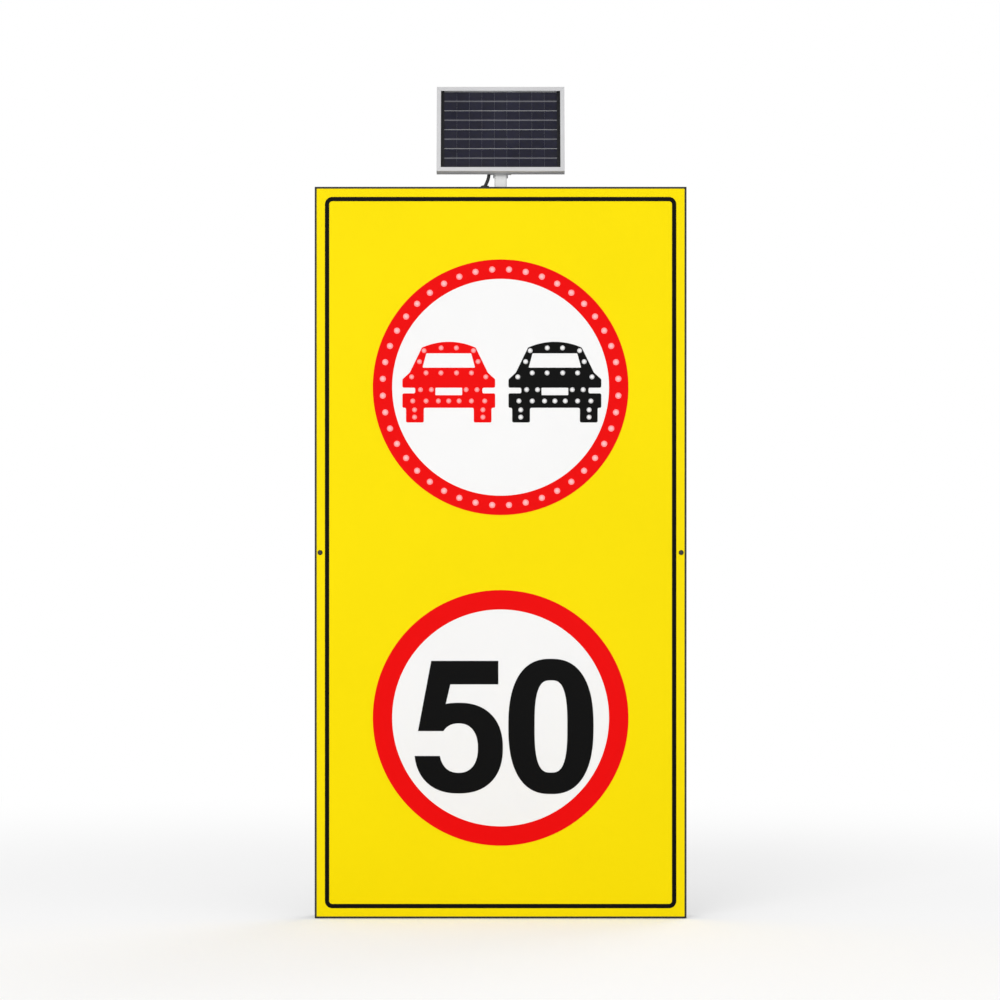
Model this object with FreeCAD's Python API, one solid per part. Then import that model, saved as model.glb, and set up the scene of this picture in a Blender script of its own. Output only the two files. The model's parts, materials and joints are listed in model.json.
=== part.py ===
"""Solar LED road sign: a folded box sign with a small solar panel that tilts on its top edge.

Millimetres. +X is right seen from the front, the face looks along -Y, and +Z is up.
The origin is the centre of the four post-bolt holes, on the rear plane of the two rails.
"""
import FreeCAD, Part
import math
import os

V = FreeCAD.Vector

# Sign box, a tray folded from sheet
BOX_WIDTH = 610.0
BOX_HEIGHT = 1200.0
BOX_DEPTH = 60.0
TRAY_SHEET = 2.0
TRAY_BEND = 1.5
LIP_WIDTH = 20.0
CORNER_GAP = 0.2

# Rear cover and the rails that clamp to a post
COVER_SHEET = 1.5
COVER_INSET = 4.0
RAIL_SHEET = 2.5
RAIL_BEND = 2.0
RAIL_LENGTH = 400.0
RAIL_DEPTH = 30.0
RAIL_CROWN = 40.0
RAIL_FLANGE = 30.0
RAIL_SPACING = 700.0
POST_BOLT_SPACING = 88.0
POST_BOLT_HOLE = 5.5
RAIL_RIVET_SPACING = 170.0

# Round outlines are drawn with flat sides, so that the part stays light
LARGE_SIDES = 56
DIGIT_SIDES = 36
BOARD_SIDES = 24
PIVOT_SIDES = 12
SMALL_SIDES = 6
CORNER_STEPS = 4
BEND_STEPS = 3

# Fasteners
HOLE_CLEARANCE = 0.2
SCREW_SHANK = 2.1
SCREW_HEAD = 4.6
SCREW_HEAD_HEIGHT = 3.2
SCREW_LENGTH = 8.0
SCREW_ROWS = 3
SCREW_END_MARGIN = 40.0
RIVET_SHANK = 2.0
RIVET_HEAD = 3.6
RIVET_HEAD_HEIGHT = 1.2
RIVET_TAIL = 1.5

# Films on the face
FILM = 0.4
FILM_GAP = 0.1
EDGE_SHOWN = 3.5
BORDER_INSET = 17.0
BORDER_WIDTH = 7.0
BORDER_CORNER = 12.0
DISC_SPACING = 542.0
RING_OUTER = 209.5
RING_INNER = 177.8

# Light emitting diodes on the films, and the round board behind the face that feeds them
RING_LEDS = 44
RING_LED_CIRCLE = 193.5
RING_LED_RADIUS = 5.0
CAR_LED_RADIUS = 4.0
LED_HEIGHT = 4.0
LED_CHAMFER = 1.6
BOARD_RADIUS = 202.0
BOARD_SHEET = 1.6
SPACER_COUNT = 6
SPACER_CIRCLE = 150.0
SPACER_RADIUS = 5.0
SPACER_LENGTH = 8.0

# Car symbol, half outline from the end of the roof arc down to the middle of the underside
CAR_OFFSET = 87.0
CAR_PAIR_X = 2.0
CAR_ROOF_TOP = 74.5
CAR_ROOF_STEPS = 8
CAR_HALF_OUTLINE = (
    (44.0, 65.0), (64.0, 24.0), (76.0, 13.0), (76.0, -0.7), (55.0, -0.7), (55.0, -10.0),
    (76.0, -10.0), (76.0, -33.6), (70.0, -33.6), (70.0, -57.7), (41.0, -57.7), (41.0, -33.6),
)
CAR_WINDOW = ((36.7, 55.7), (43.2, 32.1))
CAR_GRILLE = ((22.0, -0.7), (22.0, -13.0))
CAR_MIDDLE_LED = (0.0, -22.5)
CAR_HALF_LEDS = (
    (12.5, 64.5), (40.5, 60.0), (48.0, 42.0), (12.8, 23.5), (37.2, 23.5), (60.8, 17.0), (28.5, -4.0),
    (46.3, -4.0), (17.0, -22.5), (37.2, -22.5), (59.0, -22.5), (56.0, -37.0), (56.0, -49.0),
)

# Digits of the lower disc, placed from its centre
ZERO_X = 82.5
ZERO_Z = -14.0
ZERO_RADII = (69.8, 110.8)
ZERO_SQUARENESS = 2.45
ZERO_HOLE_RADII = (26.9, 75.6)
ZERO_HOLE_SQUARENESS = 2.9
FIVE_TOP = 93.5
FIVE_BAR_HEIGHT = 38.5
FIVE_BAR_RIGHT = -3.8
FIVE_STEM_TOP = -113.7
FIVE_STEM_FOOT = -135.4
FIVE_STEM_INNER = (-82.4, -89.7)
FIVE_HOOK_TOP = 22.2
FIVE_SHOULDER = -21.6
FIVE_TAIL = -62.4
FIVE_TERMINAL = -99.3
FIVE_BOWL = (-68.9, -49.5)
FIVE_BOWL_RADII = (72.6, 74.3)
FIVE_BOWL_HOLE_RADII = (31.7, 40.5)
FIVE_BOWL_SQUARENESS = 2.3

# Cross brace behind the face, held by the two face screws
BRACE_SHEET = 1.5
BRACE_BEND = 1.5
BRACE_WIDTH = 40.0
BRACE_DEPTH = 25.0
BRACE_END_GAP = 0.5
FACE_SCREW_INSET = 9.0
FACE_SCREW_HEAD = 4.2
FACE_SCREW_HEAD_HEIGHT = 1.8
FACE_SCREW_LENGTH = 9.0

# Battery, its strap and the charge controller on the rear cover
BATTERY_WIDTH = 70.0
BATTERY_DEPTH = 47.0
BATTERY_HEIGHT = 101.0
BATTERY_TOP = -80.0
BATTERY_TERMINAL = 6.0
BATTERY_EDGE = 2.0
STRAP_SHEET = 1.5
STRAP_BEND = 1.5
STRAP_WIDTH = 30.0
STRAP_FLANGE = 24.0
CONTROLLER_WIDTH = 92.0
CONTROLLER_DEPTH = 26.0
CONTROLLER_HEIGHT = 58.0
CONTROLLER_GAP = 2.0
CONTROLLER_CORNER = 5.0
TERMINAL_BLOCK_WIDTH = 62.0
TERMINAL_BLOCK_DEPTH = 13.0
TERMINAL_BLOCK_HEIGHT = 10.0

# Mast through the top of the box
MAST_WIDTH = 20.0
MAST_WALL = 1.5
MAST_CORNER = 1.5
MAST_HEIGHT = 38.0
MAST_HOLE_GAP = 0.2
MAST_FOOT_LENGTH = 60.0
MAST_FOOT_SHEET = 3.0
MAST_RIVET_OFFSET = 22.0
CAP_HEIGHT = 2.0
CAP_PLUG = 4.0
CAP_GAP = 0.1

# Tilt joint of the solar panel
PIVOT_HEIGHT = 28.0
REST_TILT = 15.0
TILT_BOLT_RADIUS = 4.0
TILT_BOLT_GAP = 0.1
HEX_ACROSS = 13.0
BOLT_HEAD_HEIGHT = 5.3
NUT_HEIGHT = 6.5
BOLT_END = 2.0
EAR_RADIUS = 12.0
EAR_SHEET = 2.0
EAR_BEND = 1.0
EAR_GAP = 0.2
BRACKET_REACH = 17.5
STRIP_WIDTH = 18.0
BRACKET_RIVET_INSET = 6.0

# Solar panel, measured upright from the pivot
PANEL_WIDTH = 210.0
PANEL_HEIGHT = 147.0
PANEL_DEPTH = 17.0
PANEL_BELOW_PIVOT = 13.0
FRAME_WALL = 1.5
FRAME_LIP = 7.0
FRAME_LIP_SHEET = 1.2
FRAME_FLANGE = 12.0
GLASS = 3.0
CELL_SHEET = 0.3
BACK_SHEET = 0.7
LAMINATE_GAP = 0.3
CELL_COLUMNS = 9
CELL_ROWS = 4
CELL_FIELD_WIDTH = 185.5
CELL_FIELD_HEIGHT = 132.0
CELL_GAP = 0.8
JUNCTION_WIDTH = 48.0
JUNCTION_HEIGHT = 55.0
JUNCTION_DEPTH = 15.0
JUNCTION_LID = 5.0
JUNCTION_CORNER = 3.0
JUNCTION_SIDE = -14.0
JUNCTION_BOTTOM = 45.0
GLAND_RADIUS = 4.0
GLAND_LENGTH = 8.0
GLAND_INSET = 5.0
GLAND_DEPTH = 16.0

# Cable from the panel's gland down to the grommet in the box top
CABLE_RADIUS = 2.75
CABLE_BEND_SHARE = 0.45
CABLE_LOWER_ROUTE = (
    (-19.0, -71.52, 652.426), (-18.5, -75.0, 637.0), (-18.7, -77.3, 622.5), (-20.9, -78.7, 610.4),
    (-25.8, -79.0, 601.2),
)
GROMMET_X = -25.8
GROMMET_Y = -79.0
GROMMET_FLANGE = 7.0
GROMMET_FLANGE_HEIGHT = 3.0
GROMMET_NECK = 5.5
GROMMET_GAP = 0.1

# Planes worked out from the sizes above
COVER_REAR = -RAIL_DEPTH
COVER_FRONT = COVER_REAR - COVER_SHEET
FACE_FRONT = COVER_FRONT - BOX_DEPTH
FACE_REAR = FACE_FRONT + TRAY_SHEET
MIDDLE_DEPTH = (COVER_FRONT + FACE_FRONT) / 2
HALF_WIDTH = BOX_WIDTH / 2
HALF_HEIGHT = BOX_HEIGHT / 2
BEND_OUTSIDE = TRAY_BEND + TRAY_SHEET
LIP_MIDDLE = (LIP_WIDTH + BEND_OUTSIDE) / 2
UPPER_DISC_Z = DISC_SPACING / 2
LOWER_DISC_Z = -DISC_SPACING / 2
FACE_SCREW_X = HALF_WIDTH - FACE_SCREW_INSET
LOWER_RAIL_TOP = RAIL_CROWN / 2 + RAIL_FLANGE - RAIL_SPACING / 2
CONTROLLER_BOTTOM = LOWER_RAIL_TOP + CONTROLLER_GAP + TERMINAL_BLOCK_HEIGHT
PIVOT_Z = HALF_HEIGHT + PIVOT_HEIGHT
PANEL_REAR = -BRACKET_REACH - EAR_SHEET
PANEL_FRONT = PANEL_REAR - PANEL_DEPTH
PANEL_TOP = PANEL_HEIGHT - PANEL_BELOW_PIVOT
BACK_SHEET_REAR = PANEL_FRONT + FRAME_LIP_SHEET + GLASS + CELL_SHEET + BACK_SHEET
EAR_INSIDE = MAST_WIDTH / 2 + EAR_GAP
EAR_OUTSIDE = EAR_INSIDE + EAR_SHEET
TILT_HOLE_RADIUS = TILT_BOLT_RADIUS + TILT_BOLT_GAP
FLAT_HOLE_RADIUS = TILT_HOLE_RADIUS / math.cos(math.pi / PIVOT_SIDES)
GLAND_X = JUNCTION_SIDE - GLAND_INSET
GLAND_TIP = JUNCTION_BOTTOM - GLAND_LENGTH


def write(name, shape):
    """Write one node; identical loose pieces share a node as a group of solids."""
    shape.exportStep(os.path.join("parts", name + ".step"))


def block(x0, x1, y0, y1, z0, z1):
    return Part.makeBox(x1 - x0, y1 - y0, z1 - z0, V(x0, y0, z0))


def joined(shapes):
    """One clean solid from touching shapes."""
    return shapes[0].fuse(shapes[1:]).removeSplitter()


def edges_along(shape, direction):
    """Straight edges of a shape that run along a unit vector."""
    return [e for e in shape.Edges if abs(e.tangentAt(e.FirstParameter).dot(direction)) > 0.5]


def polygon(points):
    """Closed wire through (x, z) points on the plane y = 0."""
    corners = [V(x, 0, z) for x, z in points]
    return Part.makePolygon(corners + corners[:1])


def circle(x, z, radius):
    return Part.Wire(Part.makeCircle(radius, V(x, 0, z), V(0, -1, 0)))


def regular(x, z, radius, sides=SMALL_SIDES):
    """Many-sided stand-in for a round outline, with its corners on the given radius."""
    turns = [2 * math.pi * i / sides for i in range(sides)]
    return polygon([(x + radius * math.sin(t), z + radius * math.cos(t)) for t in turns])


def disc(z, radius):
    """Large round outline on the middle line of the face."""
    return regular(0, z, radius, LARGE_SIDES)


def rounded_rectangle(width, height, corner):
    """Rectangle about the middle of the face, with corners rounded in short steps."""
    points = []
    for quarter, (right, up) in enumerate(((1, 1), (-1, 1), (-1, -1), (1, -1))):
        middle_x = right * (width / 2 - corner)
        middle_z = up * (height / 2 - corner)
        for step in range(CORNER_STEPS + 1):
            turn = math.pi / 2 * (quarter + step / CORNER_STEPS)
            points.append((middle_x + corner * math.cos(turn), middle_z + corner * math.sin(turn)))
    return polygon(points)


def sheet(wires, rear, thickness):
    """Flat sheet parallel to the face, from its rear plane forward; inner wires are holes."""
    face = Part.makeFace(wires, "Part::FaceMakerBullseye")
    face.translate(V(0, rear, 0))
    return face.extrude(V(0, -thickness, 0))


def folded_sheet(points, thickness, bend, to_space, sweep):
    """Sheet folded along a middle line of (a, b) points, with stepped bends, swept along a vector."""
    middle = bend + thickness / 2
    units = []
    for start, end in zip(points, points[1:]):
        length = math.dist(start, end)
        units.append(((end[0] - start[0]) / length, (end[1] - start[1]) / length))

    def beside(point, unit, offset):
        return (point[0] - unit[1] * offset, point[1] + unit[0] * offset)

    def side(offset):
        outline = [beside(points[0], units[0], offset)]
        for before, after, corner in zip(units, units[1:], points[1:]):
            cross = before[0] * after[1] - before[1] * after[0]
            dot = before[0] * after[0] + before[1] * after[1]
            turn = math.atan2(cross, dot)
            hand = math.copysign(1, turn)
            reach = middle * math.tan(abs(turn) / 2)
            start = (corner[0] - before[0] * reach, corner[1] - before[1] * reach)
            centre = beside(start, before, hand * middle)
            spoke = hand * middle - offset
            for step in range(BEND_STEPS + 1):
                angle = turn * step / BEND_STEPS
                across = (before[0] * math.cos(angle) - before[1] * math.sin(angle),
                          before[0] * math.sin(angle) + before[1] * math.cos(angle))
                outline.append(beside(centre, across, -spoke))
        outline.append(beside(points[-1], units[-1], offset))
        return outline

    outline = side(thickness / 2) + side(-thickness / 2)[::-1]
    corners = [to_space(a, b) for a, b in outline]
    return Part.Face(Part.makePolygon(corners + corners[:1])).extrude(sweep)


def fastener(head, head_height, shank, length):
    """Screw or rivet along +Y with its seat on y = 0: the head is behind it, the shank in front."""
    top = Part.Face(regular(0, 0, head)).extrude(V(0, head_height, 0))
    stem = Part.Face(regular(0, 0, shank)).extrude(V(0, -length, 0))
    return joined([top, stem])


def placed(shape, x, y, z, turn=None):
    """Copy of a shape moved to a point, after an optional turn (axis, degrees)."""
    copy = shape.copy()
    if turn:
        copy.rotate(V(0, 0, 0), turn[0], turn[1])
    copy.translate(V(x, y, z))
    return copy


def led_group(points, radius, seat):
    """LEDs seated on the films, each with a chamfered front edge."""
    led = sheet([regular(0, 0, radius)], 0, LED_HEIGHT)
    front = min(led.Faces, key=lambda face: face.CenterOfMass.y)
    led = led.makeChamfer(LED_CHAMFER, front.Edges)
    return Part.makeCompound([placed(led, x, seat, z) for x, z in points])


def ring_led_points():
    step = 2 * math.pi / RING_LEDS
    turns = [step * (i + 0.5) for i in range(RING_LEDS)]
    radius = RING_LED_CIRCLE
    return [(radius * math.sin(t), UPPER_DISC_Z + radius * math.cos(t)) for t in turns]


def car_led_points(centre):
    x, z = CAR_MIDDLE_LED
    points = [(centre + x, UPPER_DISC_Z + z)]
    for x, z in CAR_HALF_LEDS:
        points.append((centre - x, UPPER_DISC_Z + z))
        points.append((centre + x, UPPER_DISC_Z + z))
    return points


def car_wires(centre):
    """Outline of the car symbol, with its window and grille."""
    def at(x, z):
        return (centre + x, UPPER_DISC_Z + z)

    shoulder, shoulder_z = CAR_HALF_OUTLINE[0]
    rise = CAR_ROOF_TOP - shoulder_z
    radius = (shoulder ** 2 + rise ** 2) / (2 * rise)
    half_angle = math.asin(shoulder / radius)
    roof = []
    for step in range(1, CAR_ROOF_STEPS):
        angle = half_angle * (2 * step / CAR_ROOF_STEPS - 1)
        roof.append(at(radius * math.sin(angle), CAR_ROOF_TOP - radius + radius * math.cos(angle)))
    right = [at(x, z) for x, z in CAR_HALF_OUTLINE]
    left = [at(-x, z) for x, z in reversed(CAR_HALF_OUTLINE)]
    wires = [polygon(roof + right + left)]
    for top, bottom in (CAR_WINDOW, CAR_GRILLE):
        corners = [(-top[0], top[1]), top, bottom, (-bottom[0], bottom[1])]
        wires.append(polygon([at(x, z) for x, z in corners]))
    return wires


def cover_screw_points():
    """Screws along both side lips and one at the middle of each end lip."""
    side = HALF_WIDTH - LIP_MIDDLE
    reach = HALF_HEIGHT - SCREW_END_MARGIN
    rows = [-reach + 2 * reach * i / (SCREW_ROWS - 1) for i in range(SCREW_ROWS)]
    points = [(x, z) for x in (-side, side) for z in rows]
    return points + [(0, HALF_HEIGHT - LIP_MIDDLE), (0, LIP_MIDDLE - HALF_HEIGHT)]


def rail_rivet_points(centre):
    z = centre + RAIL_CROWN / 2 + RAIL_FLANGE / 2
    return [(x, z) for x in (-RAIL_RIVET_SPACING, 0, RAIL_RIVET_SPACING)]


def strap_rivet_points():
    x = BATTERY_WIDTH / 2 + STRAP_SHEET + STRAP_FLANGE / 2
    z = BATTERY_TOP - BATTERY_HEIGHT / 2
    return [(-x, z), (x, z)]


def face_tray():
    """Face, four walls and four inward lips, with open reliefs at the corners of the bends."""
    half_sheet = TRAY_SHEET / 2
    front = FACE_FRONT + half_sheet
    rear = COVER_FRONT - half_sheet
    flat_x = HALF_WIDTH - BEND_OUTSIDE
    flat_z = HALF_HEIGHT - BEND_OUTSIDE
    leg = BEND_OUTSIDE + CORNER_GAP
    pieces = [block(-flat_x, flat_x, FACE_FRONT, FACE_REAR, -flat_z, flat_z)]
    for hand in (-1, 1):
        across = [(hand * (HALF_WIDTH - leg), front), (hand * (HALF_WIDTH - half_sheet), front),
                  (hand * (HALF_WIDTH - half_sheet), rear), (hand * (HALF_WIDTH - leg), rear)]
        pieces.append(folded_sheet(across, TRAY_SHEET, TRAY_BEND,
                                   lambda a, b: V(a, b, -flat_z), V(0, 0, 2 * flat_z)))
        upright = [(front, hand * (HALF_HEIGHT - leg)), (front, hand * (HALF_HEIGHT - half_sheet)),
                   (rear, hand * (HALF_HEIGHT - half_sheet)), (rear, hand * (HALF_HEIGHT - leg))]
        pieces.append(folded_sheet(upright, TRAY_SHEET, TRAY_BEND,
                                   lambda a, b: V(-flat_x, a, b), V(2 * flat_x, 0, 0)))
        wall_front = FACE_FRONT + BEND_OUTSIDE
        wall_rear = COVER_FRONT - BEND_OUTSIDE
        side_wall = sorted((hand * HALF_WIDTH, hand * (HALF_WIDTH - TRAY_SHEET)))
        pieces.append(block(*side_wall, wall_front, wall_rear, -HALF_HEIGHT, HALF_HEIGHT))
        end_wall = sorted((hand * HALF_HEIGHT, hand * (HALF_HEIGHT - TRAY_SHEET)))
        inside_x = HALF_WIDTH - TRAY_SHEET - CORNER_GAP
        pieces.append(block(-inside_x, inside_x, wall_front, wall_rear, *end_wall))
        lip_rear = (COVER_FRONT - TRAY_SHEET, COVER_FRONT)
        side_lip = sorted((hand * flat_x, hand * (HALF_WIDTH - LIP_WIDTH)))
        side_lip_end = HALF_HEIGHT - LIP_WIDTH - CORNER_GAP
        pieces.append(block(*side_lip, *lip_rear, -side_lip_end, side_lip_end))
        end_lip = sorted((hand * flat_z, hand * (HALF_HEIGHT - LIP_WIDTH)))
        pieces.append(block(-flat_x, flat_x, *lip_rear, *end_lip))
    tray = joined(pieces)
    cuts = []
    for x in (-FACE_SCREW_X, FACE_SCREW_X):
        cuts.append(sheet([regular(x, 0, SCREW_SHANK + HOLE_CLEARANCE)], FACE_REAR, TRAY_SHEET))
    for x, z in cover_screw_points():
        cuts.append(sheet([regular(x, z, SCREW_SHANK + HOLE_CLEARANCE)], COVER_FRONT, TRAY_SHEET))
    mast_half = MAST_WIDTH / 2 + MAST_HOLE_GAP
    roof = (HALF_HEIGHT - TRAY_SHEET, HALF_HEIGHT)
    cuts.append(block(-mast_half, mast_half, MIDDLE_DEPTH - mast_half, MIDDLE_DEPTH + mast_half, *roof))
    cuts.append(upright_bar(GROMMET_X, GROMMET_Y, GROMMET_NECK + GROMMET_GAP, PIVOT_SIDES, *roof))
    for x in (-MAST_RIVET_OFFSET, MAST_RIVET_OFFSET):
        cuts.append(mast_rivet_hole(x, *roof))
    return tray.cut(cuts)


def upright_bar(x, y, radius, sides, low, high):
    """Many-sided bar along Z."""
    bar = Part.Face(regular(0, 0, radius, sides)).extrude(V(0, -(high - low), 0))
    return placed(bar, x, y, high, (V(1, 0, 0), 90))


def cross_bar(radius, sides, x0, x1):
    """Many-sided bar along X about the origin."""
    bar = Part.Face(regular(0, 0, radius, sides)).extrude(V(0, -(x1 - x0), 0))
    return placed(bar, x0, 0, 0, (V(0, 0, 1), 90))


def round_bar(radius, x0, x1):
    """True round bar along X about the origin, for the tilt bolt and the holes that turn on it."""
    return Part.makeCylinder(radius, x1 - x0, V(x0, 0, 0), V(1, 0, 0))


def mast_rivet_hole(x, low, high):
    return upright_bar(x, MIDDLE_DEPTH, RIVET_SHANK + HOLE_CLEARANCE, SMALL_SIDES, low, high)


def films():
    """Yellow sheeting, border line and the two discs in layers of film, with the LEDs on top."""
    side = HALF_WIDTH - EDGE_SHOWN
    end = HALF_HEIGHT - EDGE_SHOWN
    yellow = [polygon([(-side, -end), (side, -end), (side, end), (-side, end)])]
    for x in (-FACE_SCREW_X, FACE_SCREW_X):
        yellow.append(regular(x, 0, SCREW_SHANK + HOLE_CLEARANCE))
    write("yellow_film", sheet(yellow, FACE_FRONT, FILM))

    border_width = BOX_WIDTH - 2 * BORDER_INSET
    border_height = BOX_HEIGHT - 2 * BORDER_INSET
    border = [rounded_rectangle(border_width, border_height, BORDER_CORNER),
              rounded_rectangle(border_width - 2 * BORDER_WIDTH, border_height - 2 * BORDER_WIDTH,
                                BORDER_CORNER - BORDER_WIDTH)]
    second_layer = FACE_FRONT - FILM
    third_layer = second_layer - FILM
    write("border_line", sheet(border, second_layer, FILM))

    for name, z in (("upper", UPPER_DISC_Z), ("lower", LOWER_DISC_Z)):
        write(name + "_ring", sheet([disc(z, RING_OUTER), disc(z, RING_INNER)], second_layer, FILM))
        write(name + "_disc", sheet([disc(z, RING_INNER - FILM_GAP)], second_layer, FILM))
    for name, centre in (("red_car", CAR_PAIR_X - CAR_OFFSET), ("black_car", CAR_PAIR_X + CAR_OFFSET)):
        write(name, sheet(car_wires(centre), third_layer, FILM))
        write(name + "_leds", led_group(car_led_points(centre), CAR_LED_RADIUS, third_layer - FILM))
    write("ring_leds", led_group(ring_led_points(), RING_LED_RADIUS, third_layer))
    write("digit_five", digit_five(third_layer))
    write("digit_zero", digit_zero(third_layer))


def oval(x, z, radii, squareness):
    """Oval outline that bulges towards its corners: an ellipse at squareness 2, fuller above it."""
    def bulged(share):
        return math.copysign(abs(share) ** (2 / squareness), share)

    points = []
    for i in range(DIGIT_SIDES):
        turn = 2 * math.pi * (i + 0.5) / DIGIT_SIDES
        points.append((x + radii[0] * bulged(math.sin(turn)), z + radii[1] * bulged(math.cos(turn))))
    return polygon(points)


def digit_zero(rear):
    z = LOWER_DISC_Z + ZERO_Z
    outside = oval(ZERO_X, z, ZERO_RADII, ZERO_SQUARENESS)
    hole = oval(ZERO_X, z, ZERO_HOLE_RADII, ZERO_HOLE_SQUARENESS)
    return sheet([outside, hole], rear, FILM)


def digit_five(rear):
    """Bar and leaning stem over a bowl that is open on its left."""
    def area(points):
        return sheet([polygon([(x, LOWER_DISC_Z + z) for x, z in points])], rear, FILM)

    bar_bottom = FIVE_TOP - FIVE_BAR_HEIGHT
    bar_and_stem = area([
        (FIVE_STEM_TOP, FIVE_TOP), (FIVE_BAR_RIGHT, FIVE_TOP), (FIVE_BAR_RIGHT, bar_bottom),
        (FIVE_STEM_INNER[0], bar_bottom), (FIVE_STEM_INNER[1], FIVE_HOOK_TOP),
        (FIVE_TERMINAL, FIVE_SHOULDER), (FIVE_STEM_FOOT, FIVE_SHOULDER),
    ])
    far_left = FIVE_BOWL[0] - FIVE_BOWL_RADII[0] - FIVE_BAR_HEIGHT
    mouth = area([(far_left, FIVE_SHOULDER), (FIVE_BOWL[0], FIVE_SHOULDER), (FIVE_BOWL[0], FIVE_TAIL),
                  (FIVE_TERMINAL, FIVE_TAIL), (far_left, FIVE_TAIL)])
    above_mouth = area([(far_left, FIVE_TOP), (FIVE_TERMINAL, FIVE_TOP), (FIVE_TERMINAL, FIVE_SHOULDER),
                        (far_left, FIVE_SHOULDER)])
    centre = (FIVE_BOWL[0], LOWER_DISC_Z + FIVE_BOWL[1])
    bowl = sheet([oval(*centre, FIVE_BOWL_RADII, FIVE_BOWL_SQUARENESS)], rear, FILM)
    hollow = sheet([oval(*centre, FIVE_BOWL_HOLE_RADII, FIVE_BOWL_SQUARENESS)], rear, FILM)
    ring = bowl.cut([hollow, mouth, above_mouth])
    return joined([ring, bar_and_stem])


def led_board():
    """Round circuit board behind the upper disc, on spacers bonded to the face."""
    rear = FACE_REAR + SPACER_LENGTH
    outline = regular(0, UPPER_DISC_Z, BOARD_RADIUS, BOARD_SIDES)
    write("led_board", sheet([outline], rear + BOARD_SHEET, BOARD_SHEET))
    spacers = []
    for i in range(SPACER_COUNT):
        turn = 2 * math.pi * i / SPACER_COUNT
        x = SPACER_CIRCLE * math.sin(turn)
        z = UPPER_DISC_Z + SPACER_CIRCLE * math.cos(turn)
        spacers.append(sheet([regular(x, z, SPACER_RADIUS)], rear, SPACER_LENGTH))
    write("board_spacers", Part.makeCompound(spacers))


def brace():
    """Channel across the box behind the face, and the two face screws that hold it."""
    half = BRACE_SHEET / 2
    length = BOX_WIDTH - 2 * (BEND_OUTSIDE + BRACE_END_GAP)
    edge = BRACE_WIDTH / 2 - half
    rear = FACE_REAR + BRACE_DEPTH
    points = [(rear, -edge), (FACE_REAR + half, -edge), (FACE_REAR + half, edge), (rear, edge)]
    channel = folded_sheet(points, BRACE_SHEET, BRACE_BEND, lambda a, b: V(-length / 2, a, b),
                           V(length, 0, 0))
    screw = fastener(FACE_SCREW_HEAD, FACE_SCREW_HEAD_HEIGHT, SCREW_SHANK, FACE_SCREW_LENGTH)
    holes = []
    screws = []
    for x in (-FACE_SCREW_X, FACE_SCREW_X):
        hole = regular(x, 0, SCREW_SHANK + HOLE_CLEARANCE)
        holes.append(sheet([hole], FACE_REAR + BRACE_SHEET, BRACE_SHEET))
        screws.append(placed(screw, x, FACE_FRONT - FILM, 0, (V(0, 0, 1), 180)))
    write("mid_brace", channel.cut(holes))
    write("face_screws", Part.makeCompound(screws))


def rear_cover():
    """Cover sheet on the tray's lips with its screws."""
    width = BOX_WIDTH - 2 * COVER_INSET
    height = BOX_HEIGHT - 2 * COVER_INSET
    wires = [polygon([(-width / 2, -height / 2), (width / 2, -height / 2), (width / 2, height / 2),
                      (-width / 2, height / 2)])]
    for x, z in cover_screw_points():
        wires.append(regular(x, z, SCREW_SHANK + HOLE_CLEARANCE))
    rivets = rail_rivet_points(-RAIL_SPACING / 2) + rail_rivet_points(RAIL_SPACING / 2)
    for x, z in rivets + strap_rivet_points():
        wires.append(regular(x, z, RIVET_SHANK + HOLE_CLEARANCE))
    write("rear_cover", sheet(wires, COVER_REAR, COVER_SHEET))
    screw = fastener(SCREW_HEAD, SCREW_HEAD_HEIGHT, SCREW_SHANK, SCREW_LENGTH)
    screws = [placed(screw, x, COVER_REAR, z) for x, z in cover_screw_points()]
    write("cover_screws", Part.makeCompound(screws))
    rail_rivet = fastener(RIVET_HEAD, RIVET_HEAD_HEIGHT, RIVET_SHANK,
                          RAIL_SHEET + COVER_SHEET + RIVET_TAIL)
    strap_rivet = fastener(RIVET_HEAD, RIVET_HEAD_HEIGHT, RIVET_SHANK,
                           COVER_SHEET + STRAP_SHEET + RIVET_TAIL)
    group = [placed(rail_rivet, x, COVER_REAR + RAIL_SHEET, z) for x, z in rivets]
    group += [placed(strap_rivet, x, COVER_REAR, z) for x, z in strap_rivet_points()]
    write("cover_rivets", Part.makeCompound(group))


def rail(centre):
    """Z rail: flange on the cover, web, and a crown that bolts to the post clamps."""
    half = RAIL_SHEET / 2
    web = centre + RAIL_CROWN / 2 - half
    points = [(-half, centre - RAIL_CROWN / 2), (-half, web), (COVER_REAR + half, web),
              (COVER_REAR + half, web + RAIL_FLANGE)]
    bar = folded_sheet(points, RAIL_SHEET, RAIL_BEND, lambda a, b: V(-RAIL_LENGTH / 2, a, b),
                       V(RAIL_LENGTH, 0, 0))
    cuts = []
    for x in (-POST_BOLT_SPACING / 2, POST_BOLT_SPACING / 2):
        cuts.append(sheet([circle(x, centre, POST_BOLT_HOLE)], 0, RAIL_SHEET))
    for x, z in rail_rivet_points(centre):
        cuts.append(sheet([regular(x, z, RIVET_SHANK + HOLE_CLEARANCE)],
                          COVER_REAR + RAIL_SHEET, RAIL_SHEET))
    return bar.cut(cuts)


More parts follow.
